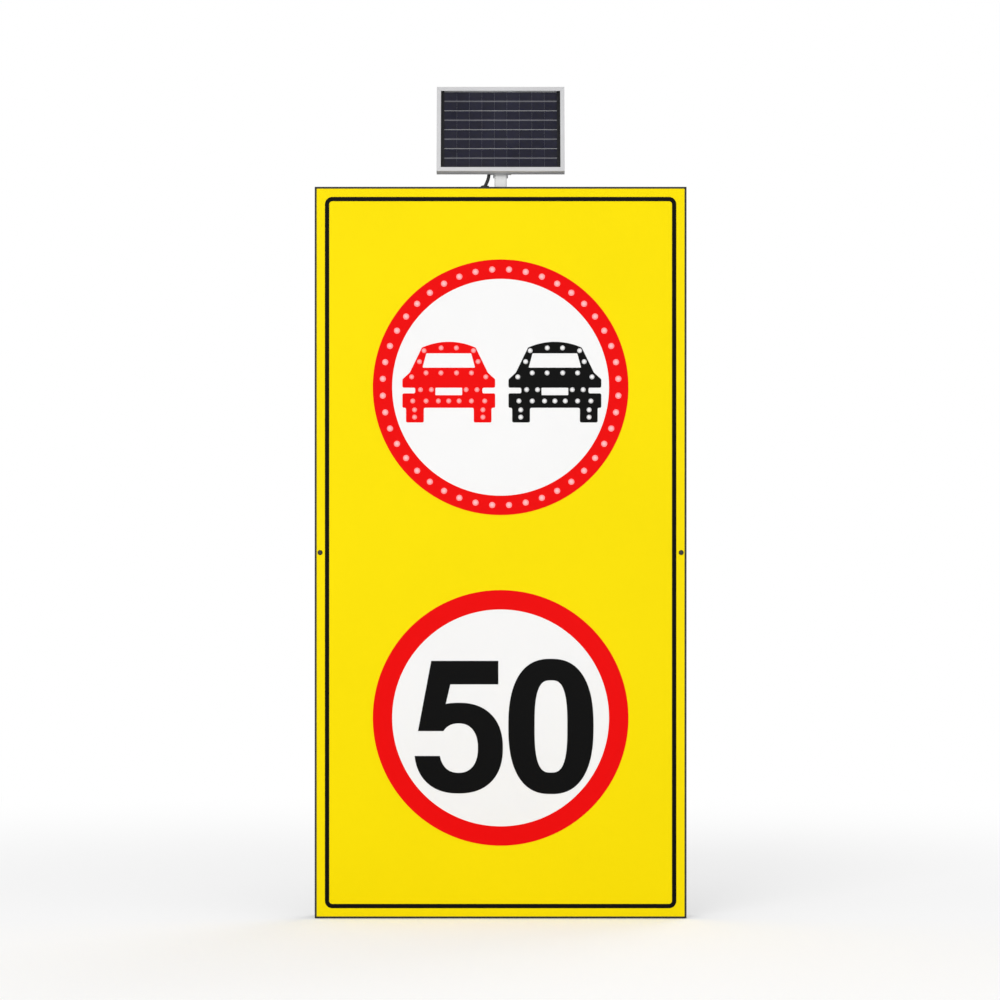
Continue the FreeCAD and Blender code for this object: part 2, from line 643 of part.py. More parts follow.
def power_parts():
    """Battery against the cover, the strap that clamps it, and the charge controller."""
    half_width = BATTERY_WIDTH / 2
    front = COVER_FRONT - BATTERY_DEPTH
    case = block(-half_width, half_width, front, COVER_FRONT, BATTERY_TOP - BATTERY_HEIGHT, BATTERY_TOP)
    case = case.makeChamfer(BATTERY_EDGE, edges_along(case, V(0, 0, 1)))
    terminals = []
    for x in (-half_width / 2, half_width / 2):
        terminals.append(block(x - BATTERY_TERMINAL / 2, x + BATTERY_TERMINAL / 2,
                               front + BATTERY_TERMINAL, front + 2 * BATTERY_TERMINAL,
                               BATTERY_TOP, BATTERY_TOP + BATTERY_TERMINAL))
    write("battery", joined([case] + terminals))

    half = STRAP_SHEET / 2
    outer = half_width + STRAP_SHEET + STRAP_FLANGE
    low = BATTERY_TOP - BATTERY_HEIGHT / 2 - STRAP_WIDTH / 2
    foot = COVER_FRONT - half
    crown = front - half
    points = [(-outer, foot), (-half_width - half, foot), (-half_width - half, crown),
              (half_width + half, crown), (half_width + half, foot), (outer, foot)]
    strap = folded_sheet(points, STRAP_SHEET, STRAP_BEND, lambda a, b: V(a, b, low),
                         V(0, 0, STRAP_WIDTH))
    holes = [sheet([regular(x, z, RIVET_SHANK + HOLE_CLEARANCE)], COVER_FRONT, STRAP_SHEET)
             for x, z in strap_rivet_points()]
    write("battery_strap", strap.cut(holes))

    half_controller = CONTROLLER_WIDTH / 2
    bottom = CONTROLLER_BOTTOM
    housing = block(-half_controller, half_controller, COVER_FRONT - CONTROLLER_DEPTH, COVER_FRONT,
                    bottom, bottom + CONTROLLER_HEIGHT)
    housing = housing.makeChamfer(CONTROLLER_CORNER, edges_along(housing, V(0, 1, 0)))
    half_block = TERMINAL_BLOCK_WIDTH / 2
    terminal_block = block(-half_block, half_block, COVER_FRONT - TERMINAL_BLOCK_DEPTH, COVER_FRONT,
                           bottom - TERMINAL_BLOCK_HEIGHT, bottom)
    write("charge_controller", joined([housing, terminal_block]))


def mast():
    """Square tube through the box top, welded to a foot bar that is riveted under the top wall."""
    half = MAST_WIDTH / 2
    inside = half - MAST_WALL
    top = HALF_HEIGHT + MAST_HEIGHT
    under = HALF_HEIGHT - TRAY_SHEET

    def square(reach, low, high):
        return block(-reach, reach, MIDDLE_DEPTH - reach, MIDDLE_DEPTH + reach, low, high)

    def chamfered(bar):
        return bar.makeChamfer(MAST_CORNER, edges_along(bar, V(0, 0, 1)))

    tube = chamfered(square(half, under, top))
    hollow = square(inside, under, top)
    bore = placed(cross_bar(FLAT_HOLE_RADIUS, PIVOT_SIDES, -half, half), 0, MIDDLE_DEPTH, PIVOT_Z)
    foot = block(-MAST_FOOT_LENGTH / 2, MAST_FOOT_LENGTH / 2, MIDDLE_DEPTH - half, MIDDLE_DEPTH + half,
                 under - MAST_FOOT_SHEET, under)
    rivet_xs = (-MAST_RIVET_OFFSET, MAST_RIVET_OFFSET)
    holes = [mast_rivet_hole(x, under - MAST_FOOT_SHEET, under) for x in rivet_xs]
    write("mast", joined([tube.cut([hollow, bore]), foot]).cut(holes))

    lid = chamfered(square(half, top, top + CAP_HEIGHT))
    plug = square(inside - CAP_GAP, top - CAP_PLUG, top)
    write("mast_cap", joined([lid, plug]))

    rivet = fastener(RIVET_HEAD, RIVET_HEAD_HEIGHT, RIVET_SHANK,
                     TRAY_SHEET + MAST_FOOT_SHEET + RIVET_TAIL)
    rivets = [placed(rivet, x, MIDDLE_DEPTH, HALF_HEIGHT, (V(1, 0, 0), 90)) for x in rivet_xs]
    write("mast_rivets", Part.makeCompound(rivets))


def tilt_fasteners():
    """Hexagon bolt through bracket and mast, and its nut."""
    seat = EAR_OUTSIDE + EAR_GAP
    far_end = -seat - NUT_HEIGHT - BOLT_END
    hex_radius = HEX_ACROSS / math.sqrt(3)
    head = cross_bar(hex_radius, SMALL_SIDES, seat, seat + BOLT_HEAD_HEIGHT)
    shank = round_bar(TILT_BOLT_RADIUS, far_end, seat)
    write("tilt_bolt", placed(joined([head, shank]), 0, MIDDLE_DEPTH, PIVOT_Z))
    nut = cross_bar(hex_radius, SMALL_SIDES, -seat - NUT_HEIGHT, -seat)
    bore = cross_bar(FLAT_HOLE_RADIUS, PIVOT_SIDES, -seat - NUT_HEIGHT, -seat)
    write("tilt_nut", placed(nut.cut(bore), 0, MIDDLE_DEPTH, PIVOT_Z))


def tilted(shape):
    """From the panel's upright frame about the pivot to its rest tilt on the mast."""
    return placed(shape, 0, MIDDLE_DEPTH, PIVOT_Z, (V(-1, 0, 0), REST_TILT))


def tilt_bracket():
    """Folded bracket: a strip up the panel's back with two round ears beside the mast."""
    half = EAR_SHEET / 2
    side = EAR_INSIDE + half
    base = -BRACKET_REACH - half
    points = [(-side, EAR_RADIUS), (-side, base), (side, base), (side, EAR_RADIUS)]
    clevis = folded_sheet(points, EAR_SHEET, EAR_BEND, lambda a, b: V(a, b, -EAR_RADIUS),
                          V(0, 0, 2 * EAR_RADIUS))
    round_end = cross_bar(EAR_RADIUS, 2 * PIVOT_SIDES, -EAR_OUTSIDE, EAR_OUTSIDE)
    straight = block(-EAR_OUTSIDE, EAR_OUTSIDE, PANEL_REAR, 0, -EAR_RADIUS, EAR_RADIUS)
    clevis = clevis.common(joined([round_end, straight]))
    strip = block(-STRIP_WIDTH / 2, STRIP_WIDTH / 2, PANEL_REAR, -BRACKET_REACH,
                  -PANEL_BELOW_PIVOT, PANEL_TOP)
    bore = round_bar(TILT_HOLE_RADIUS, -EAR_OUTSIDE, EAR_OUTSIDE)
    rivet = fastener(RIVET_HEAD, RIVET_HEAD_HEIGHT, RIVET_SHANK, EAR_SHEET + FRAME_WALL + RIVET_TAIL)
    cuts = [bore]
    rivets = []
    for z in bracket_rivet_heights():
        cuts.append(sheet([regular(0, z, RIVET_SHANK + HOLE_CLEARANCE)], -BRACKET_REACH, EAR_SHEET))
        rivets.append(tilted(placed(rivet, 0, -BRACKET_REACH, z)))
    write("tilt_bracket", tilted(joined([clevis, strip]).cut(cuts)))
    write("bracket_rivets", Part.makeCompound(rivets))


def bracket_rivet_heights():
    return (BRACKET_RIVET_INSET - PANEL_BELOW_PIVOT, PANEL_TOP - BRACKET_RIVET_INSET)


def frame_bar(length):
    """Frame extrusion along X, outer edge down on z = 0, mitred at both ends, front on y = 0."""
    slot = FRAME_LIP_SHEET + GLASS + CELL_SHEET + BACK_SHEET
    ledge = slot + FRAME_LIP_SHEET
    profile = [(0, 0), (0, FRAME_LIP), (FRAME_LIP_SHEET, FRAME_LIP), (FRAME_LIP_SHEET, FRAME_WALL),
               (slot, FRAME_WALL), (slot, FRAME_LIP), (ledge, FRAME_LIP), (ledge, FRAME_WALL),
               (PANEL_DEPTH - FRAME_WALL, FRAME_WALL), (PANEL_DEPTH - FRAME_WALL, FRAME_FLANGE),
               (PANEL_DEPTH, FRAME_FLANGE), (PANEL_DEPTH, 0)]
    corners = [V(-length / 2, y, z) for y, z in profile]
    bar = Part.Face(Part.makePolygon(corners + corners[:1])).extrude(V(length, 0, 0))
    mitre = polygon([(-length / 2, 0), (length / 2, 0), (length / 2 - FRAME_FLANGE, FRAME_FLANGE),
                     (FRAME_FLANGE - length / 2, FRAME_FLANGE)])
    return bar.common(sheet([mitre], PANEL_DEPTH, PANEL_DEPTH))


def solar_panel():
    """Mitred frame, laminate of glass, cells and back sheet, and the junction box behind it."""
    middle = PANEL_TOP - PANEL_HEIGHT / 2
    sides = (("frame_bottom", PANEL_WIDTH, PANEL_HEIGHT, 0), ("frame_left", PANEL_HEIGHT, PANEL_WIDTH, 90),
             ("frame_top", PANEL_WIDTH, PANEL_HEIGHT, 180), ("frame_right", PANEL_HEIGHT, PANEL_WIDTH, 270))
    for name, length, across, turn in sides:
        bar = placed(frame_bar(length), 0, 0, -across / 2)
        bar = placed(bar, 0, PANEL_FRONT, middle, (V(0, 1, 0), turn))
        if name == "frame_bottom":
            bar = bar.cut(bracket_rivet_cut(bracket_rivet_heights()[0]))
        if name == "frame_top":
            bar = bar.cut(bracket_rivet_cut(bracket_rivet_heights()[1]))
        write(name, tilted(bar))

    half_width = PANEL_WIDTH / 2 - FRAME_WALL - LAMINATE_GAP
    half_height = PANEL_HEIGHT / 2 - FRAME_WALL - LAMINATE_GAP
    glass_front = PANEL_FRONT + FRAME_LIP_SHEET
    cell_front = glass_front + GLASS
    back_front = cell_front + CELL_SHEET
    low = middle - half_height
    high = middle + half_height
    write("panel_glass", tilted(block(-half_width, half_width, glass_front, cell_front, low, high)))
    write("back_sheet", tilted(block(-half_width, half_width, back_front, BACK_SHEET_REAR, low, high)))
    pitch_x = CELL_FIELD_WIDTH / CELL_COLUMNS
    pitch_z = CELL_FIELD_HEIGHT / CELL_ROWS
    cell = block(CELL_GAP / 2, pitch_x - CELL_GAP / 2, cell_front, back_front,
                 CELL_GAP / 2, pitch_z - CELL_GAP / 2)
    cells = []
    for column in range(CELL_COLUMNS):
        for row in range(CELL_ROWS):
            x = column * pitch_x - CELL_FIELD_WIDTH / 2
            z = row * pitch_z + middle - CELL_FIELD_HEIGHT / 2
            cells.append(tilted(placed(cell, x, 0, z)))
    write("solar_cells", Part.makeCompound(cells))


def bracket_rivet_cut(height):
    hole = regular(0, height, RIVET_SHANK + HOLE_CLEARANCE)
    return sheet([hole], PANEL_REAR, FRAME_WALL)


def junction_box():
    """Box on the back sheet, its lid, and the gland that the cable leaves by."""
    left = JUNCTION_SIDE - JUNCTION_WIDTH
    seam = BACK_SHEET_REAR + JUNCTION_DEPTH
    top = JUNCTION_BOTTOM + JUNCTION_HEIGHT

    def chamfered(y0, y1):
        body = block(left, JUNCTION_SIDE, y0, y1, JUNCTION_BOTTOM, top)
        return body.makeChamfer(JUNCTION_CORNER, edges_along(body, V(0, 1, 0)))

    write("junction_box", tilted(chamfered(BACK_SHEET_REAR, seam)))
    write("junction_lid", tilted(chamfered(seam, seam + JUNCTION_LID)))
    gland = upright_bar(GLAND_X, -GLAND_DEPTH, GLAND_RADIUS, SMALL_SIDES, GLAND_TIP, JUNCTION_BOTTOM)
    write("cable_gland", tilted(gland))


def cable():
    """Tube along straight runs joined by the largest tangent arcs that the runs allow."""
    exit_point = tilted(Part.Vertex(V(GLAND_X, -GLAND_DEPTH, GLAND_TIP))).Point
    route = [exit_point] + [V(*point) for point in CABLE_LOWER_ROUTE]
    edges = []
    last = route[0]
    for before, corner, after in zip(route, route[1:], route[2:]):
        back = before - corner
        ahead = after - corner
        half_turn = (math.pi - back.getAngle(ahead)) / 2
        reach = CABLE_BEND_SHARE * min(back.Length, ahead.Length)
        radius = reach / math.tan(half_turn)
        print("cable bend radius", round(radius, 1))
        start = corner + back.normalize() * reach
        end = corner + ahead.normalize() * reach
        inward = (back + ahead).normalize()
        crest = corner + inward * (radius / math.cos(half_turn) - radius)
        edges.append(Part.LineSegment(last, start).toShape())
        edges.append(Part.Arc(start, crest, end).toShape())
        last = end
    edges.append(Part.LineSegment(last, route[-1]).toShape())
    path = Part.Wire(edges)
    first_run = route[1] - route[0]
    section = regular(0, 0, CABLE_RADIUS)
    section.Placement = FreeCAD.Placement(route[0], FreeCAD.Rotation(V(0, -1, 0), first_run))
    tube = path.makePipeShell([section], True, False)
    share = tube.Volume / (Part.Face(section).Area * path.Length)
    print("cable length", round(path.Length, 1), "volume share", round(share, 4))
    write("panel_cable", tube)

    neck_low = HALF_HEIGHT - TRAY_SHEET
    low = neck_low - GROMMET_FLANGE_HEIGHT
    high = HALF_HEIGHT + GROMMET_FLANGE_HEIGHT
    stages = ((GROMMET_FLANGE, low, neck_low), (GROMMET_NECK, neck_low, HALF_HEIGHT),
              (GROMMET_FLANGE, HALF_HEIGHT, high))
    rings = [upright_bar(GROMMET_X, GROMMET_Y, radius, PIVOT_SIDES, z0, z1) for radius, z0, z1 in stages]
    write("cable_grommet", joined(rings))


os.makedirs("parts", exist_ok=True)
write("face_tray", face_tray())
films()
led_board()
brace()
rear_cover()
write("upper_rail", rail(RAIL_SPACING / 2))
write("lower_rail", rail(-RAIL_SPACING / 2))
power_parts()
mast()
tilt_fasteners()
tilt_bracket()
solar_panel()
junction_box()
cable()
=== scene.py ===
import json
import math

import bmesh
import bpy
import numpy as np
from mathutils import Matrix, Vector


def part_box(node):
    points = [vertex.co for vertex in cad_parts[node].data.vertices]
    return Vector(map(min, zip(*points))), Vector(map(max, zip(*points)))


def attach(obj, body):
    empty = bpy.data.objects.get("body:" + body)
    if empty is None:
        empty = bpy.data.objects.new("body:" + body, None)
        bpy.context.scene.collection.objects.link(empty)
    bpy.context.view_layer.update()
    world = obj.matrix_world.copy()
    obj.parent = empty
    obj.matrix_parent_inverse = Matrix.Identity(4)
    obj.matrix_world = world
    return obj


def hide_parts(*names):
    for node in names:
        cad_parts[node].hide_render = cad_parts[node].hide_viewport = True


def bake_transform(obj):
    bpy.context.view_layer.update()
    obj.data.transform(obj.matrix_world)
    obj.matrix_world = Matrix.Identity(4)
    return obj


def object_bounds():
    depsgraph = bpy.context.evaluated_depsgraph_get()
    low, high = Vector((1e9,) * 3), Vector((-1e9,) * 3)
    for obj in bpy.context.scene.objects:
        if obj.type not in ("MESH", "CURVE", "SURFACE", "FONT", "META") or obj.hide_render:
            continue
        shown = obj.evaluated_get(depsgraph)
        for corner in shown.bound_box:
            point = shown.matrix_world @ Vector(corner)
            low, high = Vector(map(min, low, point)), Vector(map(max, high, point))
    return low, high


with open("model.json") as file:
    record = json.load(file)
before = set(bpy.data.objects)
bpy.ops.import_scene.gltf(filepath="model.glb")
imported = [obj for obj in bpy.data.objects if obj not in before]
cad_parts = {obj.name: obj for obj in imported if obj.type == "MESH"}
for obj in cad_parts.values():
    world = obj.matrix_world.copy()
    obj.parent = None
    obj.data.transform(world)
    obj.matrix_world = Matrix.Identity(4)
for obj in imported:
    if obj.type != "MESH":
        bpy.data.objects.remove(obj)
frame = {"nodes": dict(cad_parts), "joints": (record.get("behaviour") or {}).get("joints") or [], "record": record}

cad_low, cad_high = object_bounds()
nodes = frame["nodes"]
record = frame["record"]
panel_tilt = frame["joints"][0]
slot_of = {part["node"]: part["material_slot"] for part in record["subparts"]}
body_of = {node: body for body, held in record["behaviour"]["bodies"].items() for node in held}
MM = 0.001

# Planes of the sign, from the frame
FACE_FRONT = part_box("yellow_film")[1].y
FILM = FACE_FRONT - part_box("yellow_film")[0].y
SECOND_LAYER = FACE_FRONT - FILM
THIRD_LAYER = SECOND_LAYER - FILM

# The panel's own upright frame about its pivot; the joint's lower limit stands it upright
PIVOT = Vector(panel_tilt["pos_m"])
REST_TILT = math.radians(-panel_tilt["range_deg"][0])
FROM_PANEL = Matrix.Translation(PIVOT) @ Matrix.Rotation(-REST_TILT, 4, "X")
TO_PANEL = FROM_PANEL.inverted()

# Directions
RIGHTWARD = Vector((1, 0, 0))
BACKWARD = Vector((0, 1, 0))
FORWARD = Vector((0, -1, 0))
UPWARD = Vector((0, 0, 1))

# Camera
CAMERA_DISTANCE = 6.15
CAMERA_HEIGHT = 86.2 * MM
CAMERA_SIDE = -1.0 * MM
VIEW_WIDTH = 1.6395
SENSOR = 36.0

# Cable route from the gland down into the grommet, in millimetres
CABLE_DIAMETER = 5.5 * MM
CABLE_ROUTE = (
    (-19.0, -67.3785, 667.8804),
    (-19.0, -71.52, 652.426),
    (-18.5, -75.0, 637.0),
    (-18.7, -77.3, 622.5),
    (-20.9, -78.7, 610.4),
    (-25.8, -79.0, 601.2),
)


# Material building
NOISE_LOW = 0.3
NOISE_HIGH = 0.7


class Net:
    """Short calls that add nodes to a node tree."""

    def __init__(self, tree):
        self.tree = tree

    def node(self, kind, inputs=(), output=0, **settings):
        """Adds a node and returns one of its outputs."""
        made = self.tree.nodes.new("ShaderNode" + kind)
        for setting, value in settings.items():
            setattr(made, setting, value)
        for key, value in dict(inputs).items():
            if isinstance(value, bpy.types.NodeSocket):
                self.tree.links.new(value, made.inputs[key])
            else:
                made.inputs[key].default_value = value
        return made.outputs[output]

    def place(self):
        """Place in the object's own space."""
        return self.node("TexCoord", output="Object")

    def math(self, operation, a, b=0.0):
        return self.node("Math", {0: a, 1: b}, operation=operation)

    def spread(self, value, low, high, to_low, to_high):
        """Takes the range from low to high to another range, and holds its ends beyond."""
        inputs = {"Value": value, "From Min": low, "From Max": high, "To Min": to_low, "To Max": to_high}
        return self.node("MapRange", inputs)

    def seen(self):
        """1 where the camera, a reflection or glass looks, else 0."""
        path = self.node("LightPath").node.outputs
        direct = self.math("MAXIMUM", path["Is Camera Ray"], path["Is Glossy Ray"])
        return self.math("MAXIMUM", direct, path["Is Transmission Ray"])


class Surface(Net):
    """A Principled material under construction."""

    def __init__(self, name, **sockets):
        self.material = bpy.data.materials.new(name)
        self.material.use_nodes = True
        super().__init__(self.material.node_tree)
        self.shader = self.tree.nodes["Principled BSDF"]
        for socket, value in sockets.items():
            self.set(socket.replace("_", " "), value)

    def set(self, socket, value):
        """Links or sets one of the shader's inputs; a plain colour is given as three numbers."""
        target = next(s for s in self.shader.inputs if s.name.lower() == socket.lower())
        if isinstance(value, bpy.types.NodeSocket):
            self.tree.links.new(value, target)
        elif target.type == "RGBA":
            target.default_value = (*value, 1)
        else:
            target.default_value = value

    def stretched(self, scale):
        """Place in the object's own space, scaled along each axis."""
        return self.node("Mapping", {"Vector": self.place(), "Scale": scale})

    def noise(self, scale, detail=3.0, rough=0.5, place=None):
        inputs = {"Vector": place or self.place(), "Scale": scale, "Detail": detail, "Roughness": rough}
        return self.node("TexNoise", inputs)

    def uneven(self, noise, low, high):
        """Takes the usual range of a noise to the range between two values."""
        return self.spread(noise, NOISE_LOW, NOISE_HIGH, low, high)

    def patches(self, scale):
        """A steady random number for each patch of a cell pattern."""
        cells = self.node("TexVoronoi", {"Vector": self.place(), "Scale": scale}, "Color")
        return self.node("SeparateColor", {0: cells})

    def stored(self, name):
        """A number kept on the mesh's vertices."""
        return self.node("Attribute", output="Fac", attribute_name=name)

    def mix(self, share, a, b):
        """Colour between a and b; plain colours are given as three numbers."""
        a, b = (c if isinstance(c, bpy.types.NodeSocket) else (*c, 1) for c in (a, b))
        return self.node("Mix", {0: share, 6: a, 7: b}, output=2, data_type="RGBA")

    def tones(self, share, colour, darker, lighter):
        """Colour between two tones of one colour."""
        return self.mix(share, scaled(colour, darker), scaled(colour, lighter))

    def bump(self, height, strength, distance):
        inputs = {"Height": height, "Strength": strength, "Distance": distance}
        self.set("Normal", self.node("Bump", inputs))


def scaled(colour, factor):
    return [min(1.0, c * factor) for c in colour]


def powder_coat(name, colour, rough):
    """Fine orange-peel coat with faint cloudy variation."""
    s = Surface(name, specular_ior_level=0.18)
    s.set("Base Color", s.tones(s.noise(scale=9, detail=4), colour, darker=0.84, lighter=1.16))
    s.set("Roughness", s.uneven(s.noise(scale=40), rough - 0.02, rough + 0.03))
    s.bump(s.noise(scale=900, detail=2), strength=0.2, distance=0.25 * MM)
    return s.material


# Reflective sheeting; its seams' widths are shares of the lattice's pitch
SHEETING_PITCH = 3.6 * MM
SEAM_CORE = 0.02
SEAM_EDGE = 0.09
SEAM_SHADE = 0.05
CLOUD_SHADE = 0.04
SHADED = 0.4


def sheeting(name, colour, shine):
    """Reflective sheeting: a faint diamond lattice of sealed cells under a smooth clear skin."""
    s = Surface(name, specular_ior_level=shine, roughness=0.36)
    place = s.node("SeparateXYZ", {0: s.stretched((1 / SHEETING_PITCH,) * 3)}).node.outputs
    rising = s.math("PINGPONG", s.math("ADD", place["X"], place["Z"]), 0.5)
    falling = s.math("PINGPONG", s.math("SUBTRACT", place["X"], place["Z"]), 0.5)
    seam = s.spread(s.math("MINIMUM", rising, falling), SEAM_CORE, SEAM_EDGE, 1.0, 0.0)
    cloud = s.uneven(s.noise(scale=5), 0.0, CLOUD_SHADE)
    shade = s.math("ADD", s.math("MULTIPLY", seam, SEAM_SHADE), cloud)
    s.set("Base Color", s.mix(shade, colour, scaled(colour, SHADED)))
    s.bump(seam, strength=0.05, distance=0.1 * MM)
    return s.material


# LED lenses; the painted highlight in the middle is a share of the radius
LENS_HIGHLIGHT = 0.35
LENS_RIM_SHARE = 0.9
LENS_HAZE = 0.12


def led_lens(name, highlight_core, rim, painted_glow):
    """Moulded lens with a painted highlight in its middle, from the radius stored on the mesh, and a faint painted
    glow.
    """
    s = Surface(name, roughness=0.2, specular_ior_level=0.3, emission_strength=painted_glow)
    haze = s.math("MULTIPLY", s.noise(scale=700, detail=2), LENS_HAZE)
    share = s.math("ADD", s.spread(s.stored("radius"), LENS_HIGHLIGHT, 1.0, 0.0, LENS_RIM_SHARE), haze)
    colour = s.mix(share, highlight_core, rim)
    s.set("Base Color", colour)
    s.set("Emission Color", colour)
    return s.material


def brushed(name, colour, rough, stretch, metal=1.0, scale=260):
    """Metal with fine lines along the axis that is scaled down, or an even grain, and soft clouding."""
    s = Surface(name, metallic=metal)
    lines = s.noise(scale, detail=4, rough=0.6, place=s.stretched(stretch))
    tone = s.math("MULTIPLY", s.math("ADD", lines, s.noise(scale=14)), 0.5)
    s.set("Base Color", s.tones(tone, colour, darker=0.88, lighter=1.1))
    s.set("Roughness", s.uneven(lines, rough - 0.07, rough + 0.09))
    s.bump(lines, strength=0.05, distance=0.1 * MM)
    return s.material


# Galvanised sheet
ZINC_DARK = (0.38, 0.40, 0.42)
ZINC_LIGHT = (0.62, 0.64, 0.66)
SPANGLE_SHARE = 0.6


def galvanised():
    """Zinc spangle: crystal patches that differ in tone and gloss."""
    s = Surface("galvanised", metallic=1.0)
    patch = s.patches(scale=75)
    fine = s.math("MULTIPLY", s.noise(scale=220, detail=4), 1 - SPANGLE_SHARE)
    tone = s.math("ADD", s.math("MULTIPLY", patch, SPANGLE_SHARE), fine)
    s.set("Base Color", s.mix(tone, ZINC_DARK, ZINC_LIGHT))
    s.set("Roughness", s.spread(patch, 0.0, 1.0, 0.34, 0.52))
    s.bump(s.noise(scale=500), strength=0.06, distance=0.1 * MM)
    return s.material


def moulded(name, colour, rough, grain=1400):
    """Moulded plastic or rubber with a spark-eroded grain."""
    s = Surface(name, specular_ior_level=0.35)
    s.set("Base Color", s.tones(s.noise(scale=30, detail=4), colour, darker=0.82, lighter=1.2))
    s.set("Roughness", s.uneven(s.noise(scale=120), rough - 0.06, rough + 0.08))
    s.bump(s.noise(grain, detail=2), strength=0.18, distance=0.15 * MM)
    return s.material


# Solar cells; fingers are measured in shares of their pitch, and the ribbon in shares of the cell's height
FINGERS = 13
FINGER_CORE = 0.03
FINGER_EDGE = 0.10
FINGER_SHOW = 0.06
RIBBON_HALF = 0.032
RIBBON_EDGE = 0.036
RIBBON_METAL = 0.3
CRYSTAL_SHARE = 0.4
SILICON_DARK = (0.005, 0.005, 0.026)
SILICON_LIGHT = (0.014, 0.014, 0.042)
FINGER_COLOUR = (0.30, 0.31, 0.34)
RIBBON_COLOUR = (0.26, 0.26, 0.29)


def solar_cell():
    """Dark blue silicon under a clear skin, with printed fingers and one ribbon.
    The pattern comes from the coordinates and the tint kept on each cell."""
    s = Surface("solar_cell", roughness=0.3, specular_ior_level=0.1, coat_weight=0.8, coat_roughness=0.06)
    finger = s.math("PINGPONG", s.math("MULTIPLY", s.stored("across"), FINGERS), 0.5)
    line = s.spread(finger, FINGER_CORE, FINGER_EDGE, FINGER_SHOW, 0.0)
    crystals = s.math("MULTIPLY", s.patches(scale=110), CRYSTAL_SHARE)
    tone = s.math("ADD", crystals, s.math("MULTIPLY", s.stored("tint"), 1 - CRYSTAL_SHARE))
    printed = s.mix(line, s.mix(tone, SILICON_DARK, SILICON_LIGHT), FINGER_COLOUR)
    off_middle = s.math("ABSOLUTE", s.math("SUBTRACT", s.stored("up"), 0.5))
    ribbon = s.spread(off_middle, RIBBON_HALF, RIBBON_EDGE, 1.0, 0.0)
    s.set("Base Color", s.mix(ribbon, printed, RIBBON_COLOUR))
    s.set("Metallic", s.math("MULTIPLY", ribbon, RIBBON_METAL))
    return s.material


# Back sheet and glass
SHEET_DARK = (0.58, 0.59, 0.60)
SHEET_LIGHT = (0.74, 0.75, 0.76)
# Black of the painted shade from the frame's sides, beside the cells
PAINTED_SHADE_COLOUR = (0.012, 0.012, 0.016)
GLASS_TINT = (0.13, 0.19)


def back_sheet():
    """White back sheet with a soft grain.
    On its front, left and right of the cells, a black band is painted shade from the frame's sides."""
    s = Surface("back_sheet", specular_ior_level=0.35, roughness=0.5)
    half_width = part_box("solar_cells")[1].x
    across = s.node("SeparateXYZ", {0: s.place()})
    beside = s.math("GREATER_THAN", s.math("ABSOLUTE", across), half_width)
    outward = s.node("TexCoord", output="Normal")
    front = FROM_PANEL.to_3x3() @ FORWARD
    facing = s.node("VectorMath", {0: outward, 1: front}, "Value", operation="DOT_PRODUCT")
    # Black band on the front beside the cells: painted shade from the frame's sides
    painted_shade = s.math("MULTIPLY", beside, s.math("GREATER_THAN", facing, 0.5))
    sheet = s.mix(s.noise(scale=30, detail=4), SHEET_DARK, SHEET_LIGHT)
    s.set("Base Color", s.mix(painted_shade, sheet, PAINTED_SHADE_COLOUR))
    s.bump(s.noise(scale=500, detail=2), strength=0.18, distance=0.15 * MM)
    return s.material


def glass():
    """Front glass: a faint uneven tint. Its reflections are on the skin of the cells just behind it."""
    s = Surface("panel_glass", base_color=(0, 0, 0), roughness=0.06, specular_ior_level=0.0)
    s.set("Alpha", s.uneven(s.noise(scale=11), *GLASS_TINT))
    return s.material


# Finishes
YELLOW = (0.97, 0.765, 0.0)
RED = (0.86, 0.002, 0.002)
WHITE = (0.93, 0.93, 0.93)
BLACK = (0.003, 0.003, 0.003)
ANODISED = (0.56, 0.56, 0.57)
ANODISED_ROUGH = 0.46
ANODISED_METAL = 0.35
MAST_ROUGH = 0.48
SHEET_ROUGH = 0.4
SHEET_METAL = 0.7
ALONG_X = (0.06, 1, 1)
ALONG_Z = (1, 1, 0.06)
ALL_WAYS = (1, 1, 1)

